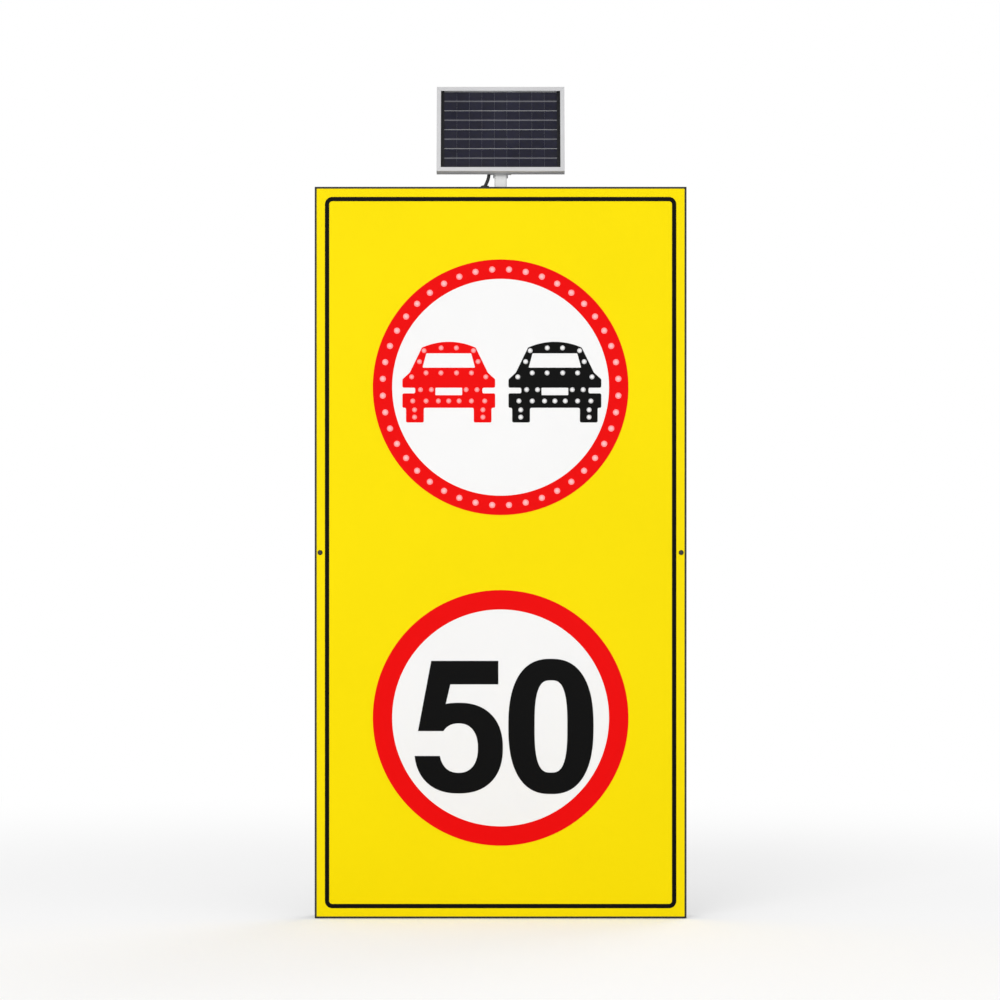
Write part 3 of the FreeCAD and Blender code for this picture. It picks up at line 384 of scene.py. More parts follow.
look = {
    "coated_box": powder_coat("coated_box", (0.036, 0.037, 0.038), rough=0.66),
    "yellow_film": sheeting("yellow_film", YELLOW, shine=0.04),
    "red_film": sheeting("red_film", RED, shine=0.04),
    "white_film": sheeting("white_film", WHITE, shine=0.1),
    "black_film": sheeting("black_film", BLACK, shine=0.04),
    # The lenses' lighter middle colours are painted highlights, and their glow is painted light
    "led_pink": led_lens("led_pink", highlight_core=(1.0, 0.48, 0.49), rim=(0.95, 0.27, 0.28), painted_glow=0.15),
    "led_rose": led_lens("led_rose", highlight_core=(1.0, 0.42, 0.42), rim=(0.93, 0.20, 0.20), painted_glow=0.12),
    "led_white": led_lens("led_white", highlight_core=(0.92, 0.92, 0.92), rim=(0.50, 0.50, 0.51), painted_glow=0.12),
    "circuit_board": moulded("circuit_board", (0.015, 0.12, 0.04), rough=0.4, grain=700),
    "galvanised": galvanised(),
    "zinc": brushed("zinc", (0.58, 0.59, 0.60), rough=0.32, stretch=ALL_WAYS, scale=400),
    "black_screw": moulded("black_screw", (0.012, 0.012, 0.013), rough=0.32, grain=900),
    "anodised": brushed("anodised", ANODISED, ANODISED_ROUGH, ALONG_X, ANODISED_METAL),
    "anodised_upright": brushed("anodised_upright", ANODISED, ANODISED_ROUGH, ALONG_Z, ANODISED_METAL),
    "mast_metal": brushed("mast_metal", (0.72, 0.72, 0.71), MAST_ROUGH, ALONG_Z, ANODISED_METAL),
    "sheet_aluminium": brushed("sheet_aluminium", (0.62, 0.63, 0.64), SHEET_ROUGH, ALONG_Z, SHEET_METAL),
    "panel_glass": glass(),
    "solar_cell": solar_cell(),
    "back_sheet": back_sheet(),
    "black_plastic": moulded("black_plastic", (0.014, 0.014, 0.015), rough=0.42),
    "battery_case": moulded("battery_case", (0.05, 0.05, 0.055), rough=0.45),
    "controller_case": moulded("controller_case", (0.03, 0.10, 0.30), rough=0.4),
    "black_rubber": moulded("black_rubber", (0.011, 0.011, 0.011), rough=0.5, grain=700),
}

# Nodes whose finish differs a little from others in their slot
own_look = {
    "frame_left": "anodised_upright",
    "frame_right": "anodised_upright",
    "mast": "mast_metal",
    "red_car_leds": "led_rose",
}


def finish_of(node):
    return look[own_look.get(node, slot_of[node])]


# Mesh building; points nearer than the reach are one point, in new meshes and in CAD nodes
LATHE_SIDES = 24
MESH_REACH = 1e-7
CAD_REACH = 1e-6


def piece(name, mesh, node):
    """Puts a finished mesh in a CAD node's place: on its body and with its finish."""
    made = bpy.data.objects.new(name, mesh)
    bpy.context.scene.collection.objects.link(made)
    mesh.materials.clear()
    mesh.materials.append(finish_of(node))
    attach(made, body_of[node])
    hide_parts(node)


def shade_smooth(mesh, sharp_from):
    """Smooth shading that keeps edges which turn by more than an angle, in degrees."""
    for face in mesh.polygons:
        face.use_smooth = True
    mesh.set_sharp_from_angle(angle=math.radians(sharp_from))


def finished(work, name, sharp_from=35):
    """Mesh from a bmesh: joined, facing outwards and shaded."""
    bmesh.ops.remove_doubles(work, verts=work.verts, dist=MESH_REACH)
    bmesh.ops.recalc_face_normals(work, faces=work.faces)
    mesh = bpy.data.meshes.new(name)
    work.to_mesh(mesh)
    work.free()
    shade_smooth(mesh, sharp_from)
    return mesh


def islands(node, to_space=Matrix()):
    """Lowest and highest corner of each separate solid in a CAD node, in the given space."""
    work = bmesh.new()
    work.from_mesh(nodes[node].data)
    bmesh.ops.remove_doubles(work, verts=work.verts, dist=CAD_REACH)
    seen = set()
    found = []
    for start in work.verts:
        if start in seen:
            continue
        group = [start]
        seen.add(start)
        for vert in group:
            for edge in vert.link_edges:
                other = edge.other_vert(vert)
                if other not in seen:
                    seen.add(other)
                    group.append(other)
        places = np.array([to_space @ v.co for v in group])
        found.append((Vector(places.min(0)), Vector(places.max(0))))
    work.free()
    return found


def whole_box(node, to_space):
    """Lowest and highest corner of a whole CAD node, in the given space."""
    boxes = islands(node, to_space)
    lows = np.array([low for low, high in boxes])
    highs = np.array([high for low, high in boxes])
    return Vector(lows.min(0)), Vector(highs.max(0))


def hexagon(corner, height, fall=0.0):
    """Level of a turned form with six flats; each corner drops by fall times what it stands out."""
    flat = corner * math.cos(math.pi / 6)
    level = []
    for i in range(LATHE_SIDES):
        angle = 2 * math.pi * i / LATHE_SIDES
        reach = flat / math.cos(angle % (math.pi / 3) - math.pi / 6)
        level.append((reach, height - fall * (reach - flat)))
    return level


def lathe(work, profile, turn):
    """Adds a turned form to a bmesh, placed by a matrix, and returns its vertices.
    A level of the profile is (radius, height), or a list of them, one for each side."""
    rings = []
    for level in profile:
        if level[0] == 0:
            rings.append([work.verts.new(turn @ Vector((0, 0, level[1])))])
            continue
        ring = []
        for i, (radius, height) in enumerate(level if isinstance(level, list) else [level] * LATHE_SIDES):
            angle = 2 * math.pi * i / LATHE_SIDES
            place = Vector((radius * math.cos(angle), radius * math.sin(angle), height))
            ring.append(work.verts.new(turn @ place))
        rings.append(ring)
    for low, high in zip(rings, rings[1:]):
        for i in range(LATHE_SIDES):
            j = (i + 1) % LATHE_SIDES
            if len(low) == 1:
                work.faces.new((low[0], high[j], high[i]))
            elif len(high) == 1:
                work.faces.new((low[i], low[j], high[0]))
            else:
                work.faces.new((low[i], low[j], high[j], high[i]))
    return [vert for ring in rings for vert in ring]


def pointing(place, direction):
    """Matrix that takes +Z to a direction and the origin to a place."""
    return Matrix.Translation(place) @ direction.to_track_quat("Z", "Y").to_matrix().to_4x4()


# Outlines on the face; bends below the limit, in degrees, aren't rounded
SMOOTH_SIDES = 192
FILM_EDGE = 0.06 * MM
FILM_SHARP_FROM = 50
EASE_STEPS = 5
EASE_LIMIT = 20
EASE_RUN_SHARE = 0.45


def arc(centre, radius, start, end, steps):
    """Points on a circle's arc, angles in degrees from +X, both ends included."""
    turns = [math.radians(start + (end - start) * i / steps) for i in range(steps + 1)]
    return [(centre[0] + radius * math.cos(t), centre[1] + radius * math.sin(t)) for t in turns]


def circle(centre, radius):
    """Points on a whole circle, each once."""
    return arc(centre, radius, 0, 360 * (1 - 1 / SMOOTH_SIDES), SMOOTH_SIDES - 1)


def eased(outline, radius):
    """Closed outline with its sharp corners rounded, within what the runs beside them allow."""
    made = []
    for i, place in enumerate(outline):
        corner = Vector(place)
        back = Vector(outline[i - 1]) - corner
        ahead = Vector(outline[(i + 1) % len(outline)]) - corner
        turn = math.pi - back.angle(ahead)
        if turn < math.radians(EASE_LIMIT):
            made.append(place)
            continue
        reach = min(radius * math.tan(turn / 2), EASE_RUN_SHARE * min(back.length, ahead.length))
        start = corner + back.normalized() * reach
        end = corner + ahead.normalized() * reach
        for step in range(EASE_STEPS + 1):
            share = step / EASE_STEPS
            made.append(tuple(start.lerp(corner, share).lerp(corner.lerp(end, share), share)))
    return made


def film_mesh(name, outlines, rear):
    """Flat film from closed (x, z) outlines; an outline inside another is a hole. Its edges are eased."""
    curve = bpy.data.curves.new(name, "CURVE")
    curve.dimensions = "2D"
    curve.fill_mode = "BOTH"
    curve.extrude = FILM / 2 - FILM_EDGE
    curve.bevel_depth = FILM_EDGE
    curve.bevel_resolution = 1
    curve.offset = -FILM_EDGE
    for outline in outlines:
        spline = curve.splines.new("POLY")
        spline.points.add(len(outline) - 1)
        for point, (x, z) in zip(spline.points, outline):
            point.co = (x, z, 0, 1)
        spline.use_cyclic_u = True
    holder = bpy.data.objects.new(name, curve)
    mesh = bpy.data.meshes.new_from_object(holder)
    bpy.data.objects.remove(holder)
    bpy.data.curves.remove(curve)
    mesh.transform(Matrix.Translation((0, rear - FILM / 2, 0)) @ Matrix.Rotation(math.pi / 2, 4, "X"))
    shade_smooth(mesh, FILM_SHARP_FROM)
    return mesh


# Border and discs
BORDER_WIDTH = 7 * MM
BORDER_CORNER = 12 * MM
CORNER_STEPS = 10
RING_INNER = 177.8 * MM


def rounded_box(width, height, corner):
    """Outline of a rectangle about the face's middle, with round corners."""
    points = []
    for right, up, start in ((1, 1, 0), (-1, 1, 90), (-1, -1, 180), (1, -1, 270)):
        middle = (right * (width / 2 - corner), up * (height / 2 - corner))
        points += arc(middle, corner, start, start + 90, CORNER_STEPS)
    return points


def build_border():
    low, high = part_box("border_line")
    width = high.x - low.x
    height = high.z - low.z
    inside = 2 * BORDER_WIDTH
    outlines = [rounded_box(width, height, BORDER_CORNER),
                rounded_box(width - inside, height - inside, BORDER_CORNER - BORDER_WIDTH)]
    piece("border", film_mesh("border", outlines, SECOND_LAYER), "border_line")


def disc_height(node):
    """Height of a disc's middle."""
    low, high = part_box(node)
    return (low.z + high.z) / 2


def build_discs():
    for level in ("upper", "lower"):
        middle = (0, disc_height(level + "_disc"))
        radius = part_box(level + "_disc")[1].z - middle[1]
        field = film_mesh(level + "_field", [circle(middle, radius)], SECOND_LAYER)
        piece(level + "_field", field, level + "_disc")
        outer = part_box(level + "_ring")[1].z - middle[1]
        rim = film_mesh(level + "_rim", [circle(middle, outer), circle(middle, RING_INNER)], SECOND_LAYER)
        piece(level + "_rim", rim, level + "_ring")


# Car symbols, half outlines from the symbol's own middle, in millimetres
CAR_ROOF_TOP = 74.5
CAR_ROOF_STEPS = 24
CAR_HALF = (
    (44.0, 65.0), (64.0, 24.0), (76.0, 13.0), (76.0, -0.7), (55.0, -0.7), (55.0, -10.0),
    (76.0, -10.0), (76.0, -33.6), (70.0, -33.6), (70.0, -57.7), (41.0, -57.7), (41.0, -33.6),
)
CAR_WINDOW = ((36.7, 55.7), (43.2, 32.1))
CAR_GRILLE = ((22.0, -0.7), (22.0, -13.0))
CAR_ROUND = 3.0
CAR_OPENING_ROUND = 1.5


def car_outlines(node):
    """Outlines of a car's body with its round roof, its window and its grille."""
    low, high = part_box(node)
    middle = (low.x + high.x) / 2
    height = disc_height("upper_disc")

    def both_sides(half, top, radius):
        whole = top + list(half) + [(-x, z) for x, z in reversed(half)]
        return [(middle + x * MM, height + z * MM) for x, z in eased(whole, radius)]

    shoulder, shoulder_z = CAR_HALF[0]
    rise = CAR_ROOF_TOP - shoulder_z
    radius = (shoulder ** 2 + rise ** 2) / (2 * rise)
    half_angle = math.degrees(math.asin(shoulder / radius))
    roof = arc((0, CAR_ROOF_TOP - radius), radius, 90 + half_angle, 90 - half_angle, CAR_ROOF_STEPS)
    return [both_sides(CAR_HALF, roof[1:-1], CAR_ROUND), both_sides(CAR_WINDOW, [], CAR_OPENING_ROUND),
            both_sides(CAR_GRILLE, [], CAR_OPENING_ROUND)]


def build_cars():
    for node in ("red_car", "black_car"):
        piece(node + "_film", film_mesh(node + "_film", car_outlines(node), THIRD_LAYER), node)


# Digits, from the lower disc's middle, in millimetres
ZERO = (82.5, -14.0)
ZERO_OUTSIDE = (69.8, 110.8, 2.45)
ZERO_INSIDE = (26.9, 75.6, 2.9)
BOWL = (-68.9, -49.5)
BOWL_OUTSIDE = (72.6, 74.3, 2.3)
BOWL_INSIDE = (31.7, 40.5, 2.3)
FIVE_FLAG = ((-135.4, -21.6), (-113.7, 93.5), (-3.8, 93.5), (-3.8, 55.0), (-82.4, 55.0))
FIVE_HOOK = (-89.7, 22.2)
FIVE_SHOULDER = -21.6
FIVE_TAIL = -62.4
DIGIT_STEPS = 120


def signed_power(value, power):
    return math.copysign(abs(value) ** power, value)


def oval(middle, form, start=0.0, end=2 * math.pi):
    """Points on an oval that bulges towards its corners, turning clockwise from its top.
    The form is its two radii and its squareness, which is 2 on an ellipse."""
    wide, tall, squareness = form
    points = []
    for i in range(DIGIT_STEPS + 1):
        turn = start + (end - start) * i / DIGIT_STEPS
        points.append((middle[0] + wide * signed_power(math.sin(turn), 2 / squareness),
                       middle[1] + tall * signed_power(math.cos(turn), 2 / squareness)))
    return points


def oval_turn(middle, form, point):
    """Turn at which an oval passes a point near it."""
    wide, tall, squareness = form
    across = signed_power((point[0] - middle[0]) / wide, squareness / 2)
    up = signed_power((point[1] - middle[1]) / tall, squareness / 2)
    return math.atan2(across, up)


def left_side(middle, form, z):
    """Point on an oval's left side at a height."""
    wide, tall, squareness = form
    share = abs((z - middle[1]) / tall) ** squareness
    return (middle[0] - wide * (1 - share) ** (1 / squareness), z)


def five_outline():
    """Outline of the five: its flag, then round the outside of the bowl to the tail and back inside."""
    full = 2 * math.pi
    hook = oval_turn(BOWL, BOWL_OUTSIDE, FIVE_HOOK)
    tail = oval_turn(BOWL, BOWL_OUTSIDE, left_side(BOWL, BOWL_OUTSIDE, FIVE_TAIL)) + full
    outside = oval(BOWL, BOWL_OUTSIDE, hook, tail)
    mouth_low = oval_turn(BOWL, BOWL_INSIDE, left_side(BOWL, BOWL_INSIDE, FIVE_TAIL)) + full
    mouth_high = oval_turn(BOWL, BOWL_INSIDE, left_side(BOWL, BOWL_INSIDE, FIVE_SHOULDER))
    inside = oval(BOWL, BOWL_INSIDE, mouth_low, mouth_high)
    return list(FIVE_FLAG) + outside + inside


def build_digits():
    height = disc_height("lower_disc")

    def on_disc(outline):
        return [(x * MM, height + z * MM) for x, z in outline]

    zero = [on_disc(oval(ZERO, form)[:-1]) for form in (ZERO_OUTSIDE, ZERO_INSIDE)]
    piece("zero", film_mesh("zero", zero, THIRD_LAYER), "digit_zero")
    piece("five", film_mesh("five", [on_disc(five_outline())], THIRD_LAYER), "digit_five")


# LEDs; the dome's width and the collar's height are shares of the whole
LED_DOME = 0.84
LED_COLLAR = 0.26
LED_COLLAR_EDGE = 0.1 * MM
DOME_STEPS = 6


def build_leds(node):
    """Turned lens for each LED: a low collar and a dome, with the radius kept for its colour."""
    work = bmesh.new()
    stored = work.verts.layers.float.new("radius")
    for low, high in islands(node):
        radius = (high.z - low.z) / 2
        height = high.y - low.y
        collar = LED_COLLAR * height
        edge = LED_COLLAR_EDGE
        profile = [(0, 0), (radius, 0), (radius, collar - edge), (radius - edge, collar)]
        for step in range(DOME_STEPS):
            angle = math.pi / 2 * step / DOME_STEPS
            rise = (height - collar) * math.sin(angle)
            profile.append((LED_DOME * radius * math.cos(angle), collar + rise))
        profile.append((0, height))
        seat = Vector(((low.x + high.x) / 2, high.y, (low.z + high.z) / 2))
        for vert in lathe(work, profile, pointing(seat, FORWARD)):
            vert[stored] = math.hypot(vert.co.x - seat.x, vert.co.z - seat.z) / radius
    piece(node + "_lenses", finished(work, node + "_lenses"), node)


# Fasteners, profiles in millimetres from the seat outwards, from the middle of the head to its rim
CHAMFER = math.tan(math.radians(30))
SHANK_RADIUS = 2.0
TURNED_SHARP_FROM = 30
RIVET_HEAD = 1.2
RIVET = (
    (0, 0.55), (0.85, 0.55), (1.0, 0.9), (1.15, 1.15), (1.7, RIVET_HEAD), (2.6, 1.0), (3.3, 0.55),
    (3.6, 0.1), (3.6, 0),
)
HEX_SCREW_HEAD = 3.2
HEX_SCREW = (
    (0, 2.8), (2.9, 2.8), (3.3, HEX_SCREW_HEAD), (3.6, HEX_SCREW_HEAD), hexagon(4.5, 3.05, CHAMFER),
    hexagon(4.5, 0.9), (5.1, 0.75), (5.3, 0.5), (5.3, 0),
)
BUTTON_SCREW_HEAD = 1.8
BUTTON_SCREW = (
    (0, 0.5), hexagon(1.35, 0.5), hexagon(1.35, 1.7), (1.6, BUTTON_SCREW_HEAD), (2.6, 1.62), (3.5, 1.1),
    (4.0, 0.5), (4.2, 0),
)


def in_metres(profile):
    """Profile for the lathe from one in millimetres."""
    levels = []
    for level in profile:
        if isinstance(level, list):
            levels.append([(radius * MM, height * MM) for radius, height in level])
        else:
            levels.append((level[0] * MM, level[1] * MM))
    return levels


def turned(name, node, profile, turn, sharp_from=TURNED_SHARP_FROM):
    """Puts one turned piece, with its profile in millimetres, in a CAD node's place."""
    work = bmesh.new()
    lathe(work, in_metres(profile), turn)
    piece(name, finished(work, name, sharp_from), node)


def build_fasteners(node, head, head_height, direction, space=Matrix()):
    """Turned head and shank at each solid of a node; the direction is the head's, in the given space."""
    work = bmesh.new()
    for low, high in islands(node, space.inverted()):
        half = (high - low) / 2
        length = 2 * abs(half.dot(direction)) / MM - head_height
        tip = (low + high) / 2 + direction * abs(half.dot(direction))
        seat = tip - direction * head_height * MM
        shank = ((SHANK_RADIUS, 0), (SHANK_RADIUS, -length), (0, -length))
        lathe(work, in_metres((*head, *shank)), space @ pointing(seat, direction))
    piece(node + "_turned", finished(work, node + "_turned", TURNED_SHARP_FROM), node)


# Tilt bolt and nut across the mast, sizes in millimetres
BOLT_RADIUS = 4.0
BOLT_HEAD = 5.3
HEX_ACROSS_FLATS = 13.0
HEX_CORNER = HEX_ACROSS_FLATS / math.sqrt(3)
HEX_FACE = 6.2
HEX_EDGE = 0.2
NUT_BORE = 4.1
THREAD_PITCH = 1.25
THREAD_DEPTH = 0.6
THREAD_TURNS = 8


def build_bolt():
    """Hexagon bolt from its threaded tip to its head."""
    low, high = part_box("tilt_bolt")
    seat = (high.x - low.x) / MM - BOLT_HEAD
    top = seat + BOLT_HEAD
    root = BOLT_RADIUS - THREAD_DEPTH
    profile = [(0, 0), (root, 0)]
    for turn in range(THREAD_TURNS):
        profile.append((BOLT_RADIUS, (turn + 0.5) * THREAD_PITCH))
        profile.append((root, (turn + 1) * THREAD_PITCH))
    profile += [(BOLT_RADIUS, (THREAD_TURNS + 0.5) * THREAD_PITCH), (BOLT_RADIUS, seat)]
    profile += [hexagon(HEX_CORNER, seat), hexagon(HEX_CORNER, top - HEX_EDGE, CHAMFER)]
    profile += [(HEX_FACE, top), (0, top)]
    turned("tilt_bolt_turned", "tilt_bolt", profile, pointing((low.x, PIVOT.y, PIVOT.z), RIGHTWARD))


def build_nut():
    """Hexagon nut, chamfered at both ends and open for the bolt."""
    low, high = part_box("tilt_nut")
    height = (high.x - low.x) / MM
    profile = [(NUT_BORE, 0), (HEX_FACE, 0), hexagon(HEX_CORNER, HEX_EDGE, -CHAMFER)]
    profile += [hexagon(HEX_CORNER, height - HEX_EDGE, CHAMFER), (HEX_FACE, height)]
    profile += [(NUT_BORE, height), (NUT_BORE, 0)]
    turned("tilt_nut_turned", "tilt_nut", profile, pointing((low.x, PIVOT.y, PIVOT.z), RIGHTWARD))


# Cable grommet, radii and heights in millimetres; a drop is measured down from the top of its lip
GROMMET_FLANGE = 7.0
GROMMET_FLANGE_HEIGHT = 3.0
GROMMET_NECK = 5.5
GROMMET_ROUND = 1.1
GROMMET_CORNER = 0.33
GROMMET_SHARP_FROM = 40
RIM_DROP = 0.99
SHOULDER_DROP = 0.55
LIP_FOOT = 4.6
LIP_FOOT_DROP = 0.385
LIP_OUTSIDE = 4.0
LIP_INSIDE = 3.0
LIP_BORE = 2.7


def foot(low, high):
    """Middle of a box's underside."""
    return Vector(((low.x + high.x) / 2, (low.y + high.y) / 2, low.z))


def build_grommet():
    """Rubber grommet: two rounded flanges and the neck between them, raised to a lip round the cable."""
    low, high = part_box("cable_grommet")
    height = (high.z - low.z) / MM
    neck_low = GROMMET_FLANGE_HEIGHT
    neck_high = height - GROMMET_FLANGE_HEIGHT
    inset = GROMMET_FLANGE - GROMMET_ROUND
    corner = GROMMET_FLANGE - GROMMET_CORNER
    profile = [(0, 0), (inset, 0), (corner, GROMMET_CORNER), (GROMMET_FLANGE, GROMMET_ROUND)]
    profile += [(GROMMET_FLANGE, neck_low), (GROMMET_NECK, neck_low)]
    profile += [(GROMMET_NECK, neck_high), (GROMMET_FLANGE, neck_high)]
    profile += [(GROMMET_FLANGE, neck_high + GROMMET_ROUND), (corner, height - RIM_DROP)]
    profile += [(inset, height - SHOULDER_DROP), (LIP_FOOT, height - LIP_FOOT_DROP)]
    profile += [(LIP_OUTSIDE, height), (LIP_INSIDE, height)]
    profile += [(LIP_BORE, height - SHOULDER_DROP), (0, height - SHOULDER_DROP)]
    turn = pointing(foot(low, high), UPWARD)
    turned("grommet_turned", "cable_grommet", profile, turn, GROMMET_SHARP_FROM)


# Cable gland, radii and heights in millimetres from its tip
GLAND_TIP = 2.9
GLAND_RECESS = 0.3
GLAND_GAP = 0.3
GLAND_EDGE = 0.2
GLAND_DOME = ((3.55, 1.2), (3.7, 2.4))
GLAND_NECK = 3.4
GLAND_CORNER = 4.0
GLAND_HEX = 3.0
GLAND_HEX_EDGE = 0.1
GLAND_SHARP_FROM = 35


def build_gland():
    """Cable gland: a hexagon against the junction box and a domed nut that narrows to the cable."""
    low, high = whole_box("cable_gland", TO_PANEL)
    height = (high.z - low.z) / MM
    hex_low = height - GLAND_HEX
    rim = GLAND_TIP + GLAND_EDGE
    dome = GLAND_DOME[-1][0]
    profile = [(0, GLAND_RECESS), (GLAND_TIP, GLAND_RECESS), (rim, 0), (rim + GLAND_EDGE, GLAND_EDGE)]
    profile += [*GLAND_DOME, (dome, hex_low - GLAND_GAP)]
    profile += [(GLAND_NECK, hex_low - GLAND_EDGE), (GLAND_NECK, hex_low)]
    profile += [hexagon(GLAND_CORNER, hex_low + GLAND_HEX_EDGE, -CHAMFER), hexagon(GLAND_CORNER, height)]
    profile += [(0, height)]
    turn = FROM_PANEL @ pointing(foot(low, high), UPWARD)
    turned("gland_turned", "cable_gland", profile, turn, GLAND_SHARP_FROM)


# Cells of the panel; the tint steps spread the tints over columns and rows
CELL_COLUMNS = 9
CELL_ROWS = 4
COLUMN_GAP = 0.14 * MM
ROW_GAP = 1.1 * MM
GLASS_GAP = 0.05 * MM
TINTS = 5
COLUMN_TINT_STEP = 2
ROW_TINT_STEP = 3


def build_cells():
    """Thin cells in rows, a hair behind the glass, with coordinates and a tint kept for their pattern."""
    low, high = whole_box("solar_cells", TO_PANEL)
    low.y += GLASS_GAP
    pitch_x = (high.x - low.x + COLUMN_GAP) / CELL_COLUMNS
    pitch_z = (high.z - low.z + ROW_GAP) / CELL_ROWS
    work = bmesh.new()
    across, up, tint = (work.verts.layers.float.new(name) for name in ("across", "up", "tint"))
    size = Vector((pitch_x - COLUMN_GAP, high.y - low.y, pitch_z - ROW_GAP))
    for column in range(CELL_COLUMNS):
        for row in range(CELL_ROWS):
            corner = Vector((low.x + column * pitch_x, low.y, low.z + row * pitch_z))
            shade = (COLUMN_TINT_STEP * column + ROW_TINT_STEP * row) % TINTS / (TINTS - 1)
            for vert in bmesh.ops.create_cube(work, size=1)["verts"]:
                share = vert.co + Vector((0.5, 0.5, 0.5))
                vert[across] = share.x
                vert[up] = share.z
                vert[tint] = shade
                vert.co = FROM_PANEL @ (corner + share * size)
    piece("cells", finished(work, "cells"), "solar_cells")


# Cable
TUBE_SIDES = 18
TUBE_SHARP_FROM = 60
ROUTE_STEPS = 10


def spline_points(route):
    """Points along the smooth line that has the route's points as its control points."""
    curve = bpy.data.curves.new("route", "CURVE")
    curve.dimensions = "3D"
    spline = curve.splines.new("NURBS")
    spline.points.add(len(route) - 1)
    for point, place in zip(spline.points, route):
        point.co = (*[c * MM for c in place], 1)
    spline.order_u = 3
    spline.use_endpoint_u = True
    spline.resolution_u = ROUTE_STEPS
    holder = bpy.data.objects.new("route", curve)
    mesh = bpy.data.meshes.new_from_object(holder)
    places = [v.co.copy() for v in mesh.vertices]
    bpy.data.meshes.remove(mesh)
    bpy.data.objects.remove(holder)
    bpy.data.curves.remove(curve)
    return places


def tube(name, path, radius):
    """Closed round tube along a path, with a frame that is carried along without twist."""
    work = bmesh.new()
    side = RIGHTWARD
    rings = []
    for i, place in enumerate(path):
        ahead = path[min(i + 1, len(path) - 1)] - path[max(i - 1, 0)]
        ahead.normalize()
        side = (side - ahead * side.dot(ahead)).normalized()
        up = ahead.cross(side)
        ring = []
        for step in range(TUBE_SIDES):
            angle = 2 * math.pi * step / TUBE_SIDES
            outward = side * math.cos(angle) + up * math.sin(angle)
            ring.append(work.verts.new(place + radius * outward))
        rings.append(ring)
    for low, high in zip(rings, rings[1:]):
        for step in range(TUBE_SIDES):
            after = (step + 1) % TUBE_SIDES
            work.faces.new((low[step], low[after], high[after], high[step]))
    work.faces.new(rings[0])
    work.faces.new(rings[-1])
    return finished(work, name, TUBE_SHARP_FROM)


def build_cable():
    """Cable on a smooth route between the grommet on the box and the gland on the panel."""
    path = spline_points(CABLE_ROUTE)
    mesh = tube("cable", path, CABLE_DIAMETER / 2)
    mesh.materials.append(look["black_rubber"])
    cable = bpy.data.objects.new("cable", mesh)
    bpy.context.scene.collection.objects.link(cable)
    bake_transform(cable)
    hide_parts("panel_cable")


# CAD nodes: a finish for each, and eased edges on folded sheet, the panel's frame and mouldings
WELD_REACH = 1e-5
BEVEL_ANGLE = 40
BEVEL_SEGMENTS = 2
SHEET_EASE = 0.3 * MM
FRAME_EASE = 0.35 * MM
MOULDED_EASE = 0.4 * MM

softened = {
    SHEET_EASE: ("face_tray", "rear_cover", "upper_rail", "lower_rail", "mast", "tilt_bracket"),
    FRAME_EASE: ("frame_top", "frame_bottom", "frame_left", "frame_right"),
    MOULDED_EASE: ("mast_cap", "junction_box", "junction_lid"),
}


def soften(node, width):
    """Joins the node's split faces, eases its edges and evens the shading."""
    weld = nodes[node].modifiers.new("weld", "WELD")
    weld.merge_threshold = WELD_REACH
    bevel = nodes[node].modifiers.new("ease", "BEVEL")
    bevel.width = width
    bevel.segments = BEVEL_SEGMENTS
    bevel.limit_method = "ANGLE"
    bevel.angle_limit = math.radians(BEVEL_ANGLE)
    bevel.harden_normals = True


def finish_nodes():
    """Gives each CAD node its finish and eases the edges of those listed."""
    for node, made in nodes.items():
        made.data.materials.clear()
        made.data.materials.append(finish_of(node))
    for width, held in softened.items():
        for node in held:
            soften(node, width)


# Stage; the floor fades to the background's white between its near and far radius
FLOOR_RADIUS = 14.0
FLOOR_SIDES = 96
FLOOR_NEAR = 0.9
FLOOR_FAR = 2.6
FLOOR_GAP = 0.5 * MM
FLOOR_LIFT = 0.25
FLOOR_COLOUR = (0.86, 0.86, 0.86, 1)


def build_stage():
    """Plain pale floor that keeps the sign's shadow."""
    work = bmesh.new()
    bmesh.ops.create_circle(work, cap_ends=True, radius=FLOOR_RADIUS, segments=FLOOR_SIDES)
    mesh = bpy.data.meshes.new("floor")
    work.to_mesh(mesh)
    work.free()
    floor = bpy.data.objects.new("floor", mesh)
    bpy.context.scene.collection.objects.link(floor)
    floor.location = (0, 0, cad_low.z - FLOOR_GAP)

    material = bpy.data.materials.new("floor")
    material.use_nodes = True
    net = Net(material.node_tree)
    net.tree.nodes.remove(net.tree.nodes["Principled BSDF"])
    seen = net.seen()
    reach = net.node("VectorMath", {0: net.place()}, "Value", operation="LENGTH")
    far = net.node("MapRange", {"Value": reach, "From Min": FLOOR_NEAR, "From Max": FLOOR_FAR},
                   interpolation_type="SMOOTHSTEP")
    matt = net.node("BsdfDiffuse", {"Color": FLOOR_COLOUR})
    lift = net.node("Emission", {"Strength": net.math("MULTIPLY", seen, FLOOR_LIFT)})
    near = net.node("AddShader", {0: matt, 1: lift})
    shown = net.node("MixShader", {0: net.math("MULTIPLY", far, seen), 1: near, 2: net.node("Emission")})
    net.tree.links.new(shown, net.tree.nodes["Material Output"].inputs["Surface"])
    mesh.materials.append(material)


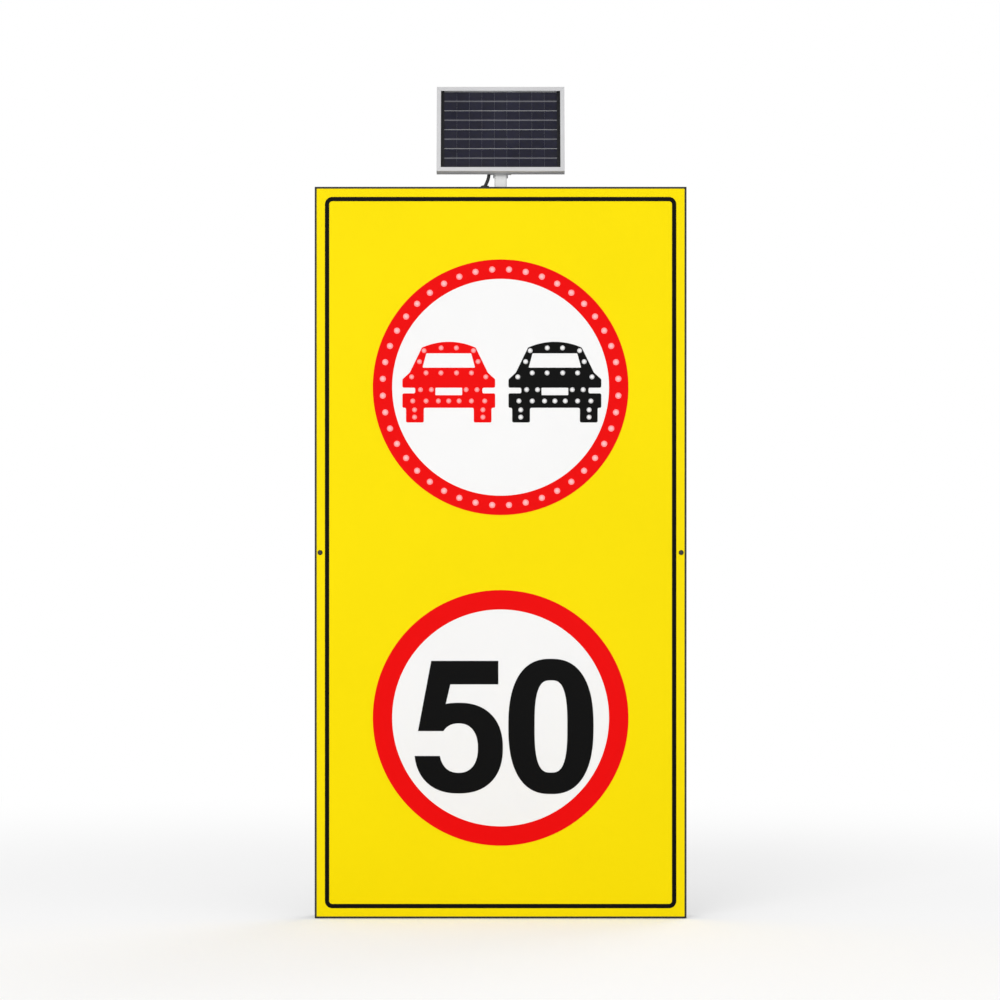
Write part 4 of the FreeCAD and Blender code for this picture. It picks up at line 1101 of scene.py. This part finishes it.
# Light; each lamp has its power in watts and its place
AMBIENT = 0.62
LAMP_SIZE = 3.0
LAMPS = {
    "key": (112.0, (-2.2, -5.6, 1.7)),
    "low_fill": (55.0, (1.2, -5.4, -0.2)),
    "rear": (60.0, (2.6, 4.6, 2.6)),
}


def build_light():
    """White surroundings, dimmer as light than as they are seen, and large soft lamps aimed at the sign."""
    world = bpy.data.worlds.new("studio")
    bpy.context.scene.world = world
    world.use_nodes = True
    net = Net(world.node_tree)
    background = net.tree.nodes["Background"]
    background.inputs["Color"].default_value = (1, 1, 1, 1)
    net.tree.links.new(net.spread(net.seen(), 0.0, 1.0, AMBIENT, 1.0), background.inputs["Strength"])
    for name, (power, place) in LAMPS.items():
        lamp = bpy.data.lights.new(name, "AREA")
        lamp.energy = power
        lamp.size = LAMP_SIZE
        lit = bpy.data.objects.new(name, lamp)
        bpy.context.scene.collection.objects.link(lit)
        lit.location = place
        lit.rotation_mode = "QUATERNION"
        lit.rotation_quaternion = (-Vector(place)).to_track_quat("-Z", "Y")


def build_camera():
    data = bpy.data.cameras.new("camera")
    data.sensor_width = SENSOR
    data.lens = SENSOR * CAMERA_DISTANCE / VIEW_WIDTH
    camera = bpy.data.objects.new("camera", data)
    bpy.context.scene.collection.objects.link(camera)
    camera.location = (CAMERA_SIDE, FACE_FRONT - CAMERA_DISTANCE, CAMERA_HEIGHT)
    camera.rotation_euler = (math.pi / 2, 0, 0)
    bpy.context.scene.camera = camera


# The whole scene
bpy.context.scene.view_settings.view_transform = "Standard"
build_camera()
build_cable()
finish_nodes()
build_border()
build_discs()
build_cars()
build_digits()
for led_node in ("ring_leds", "red_car_leds", "black_car_leds"):
    build_leds(led_node)
build_fasteners("face_screws", BUTTON_SCREW, BUTTON_SCREW_HEAD, FORWARD)
build_fasteners("cover_screws", HEX_SCREW, HEX_SCREW_HEAD, BACKWARD)
build_fasteners("cover_rivets", RIVET, RIVET_HEAD, BACKWARD)
build_fasteners("mast_rivets", RIVET, RIVET_HEAD, UPWARD)
build_fasteners("bracket_rivets", RIVET, RIVET_HEAD, BACKWARD, FROM_PANEL)
build_bolt()
build_nut()
build_grommet()
build_gland()
build_cells()
build_stage()
build_light()
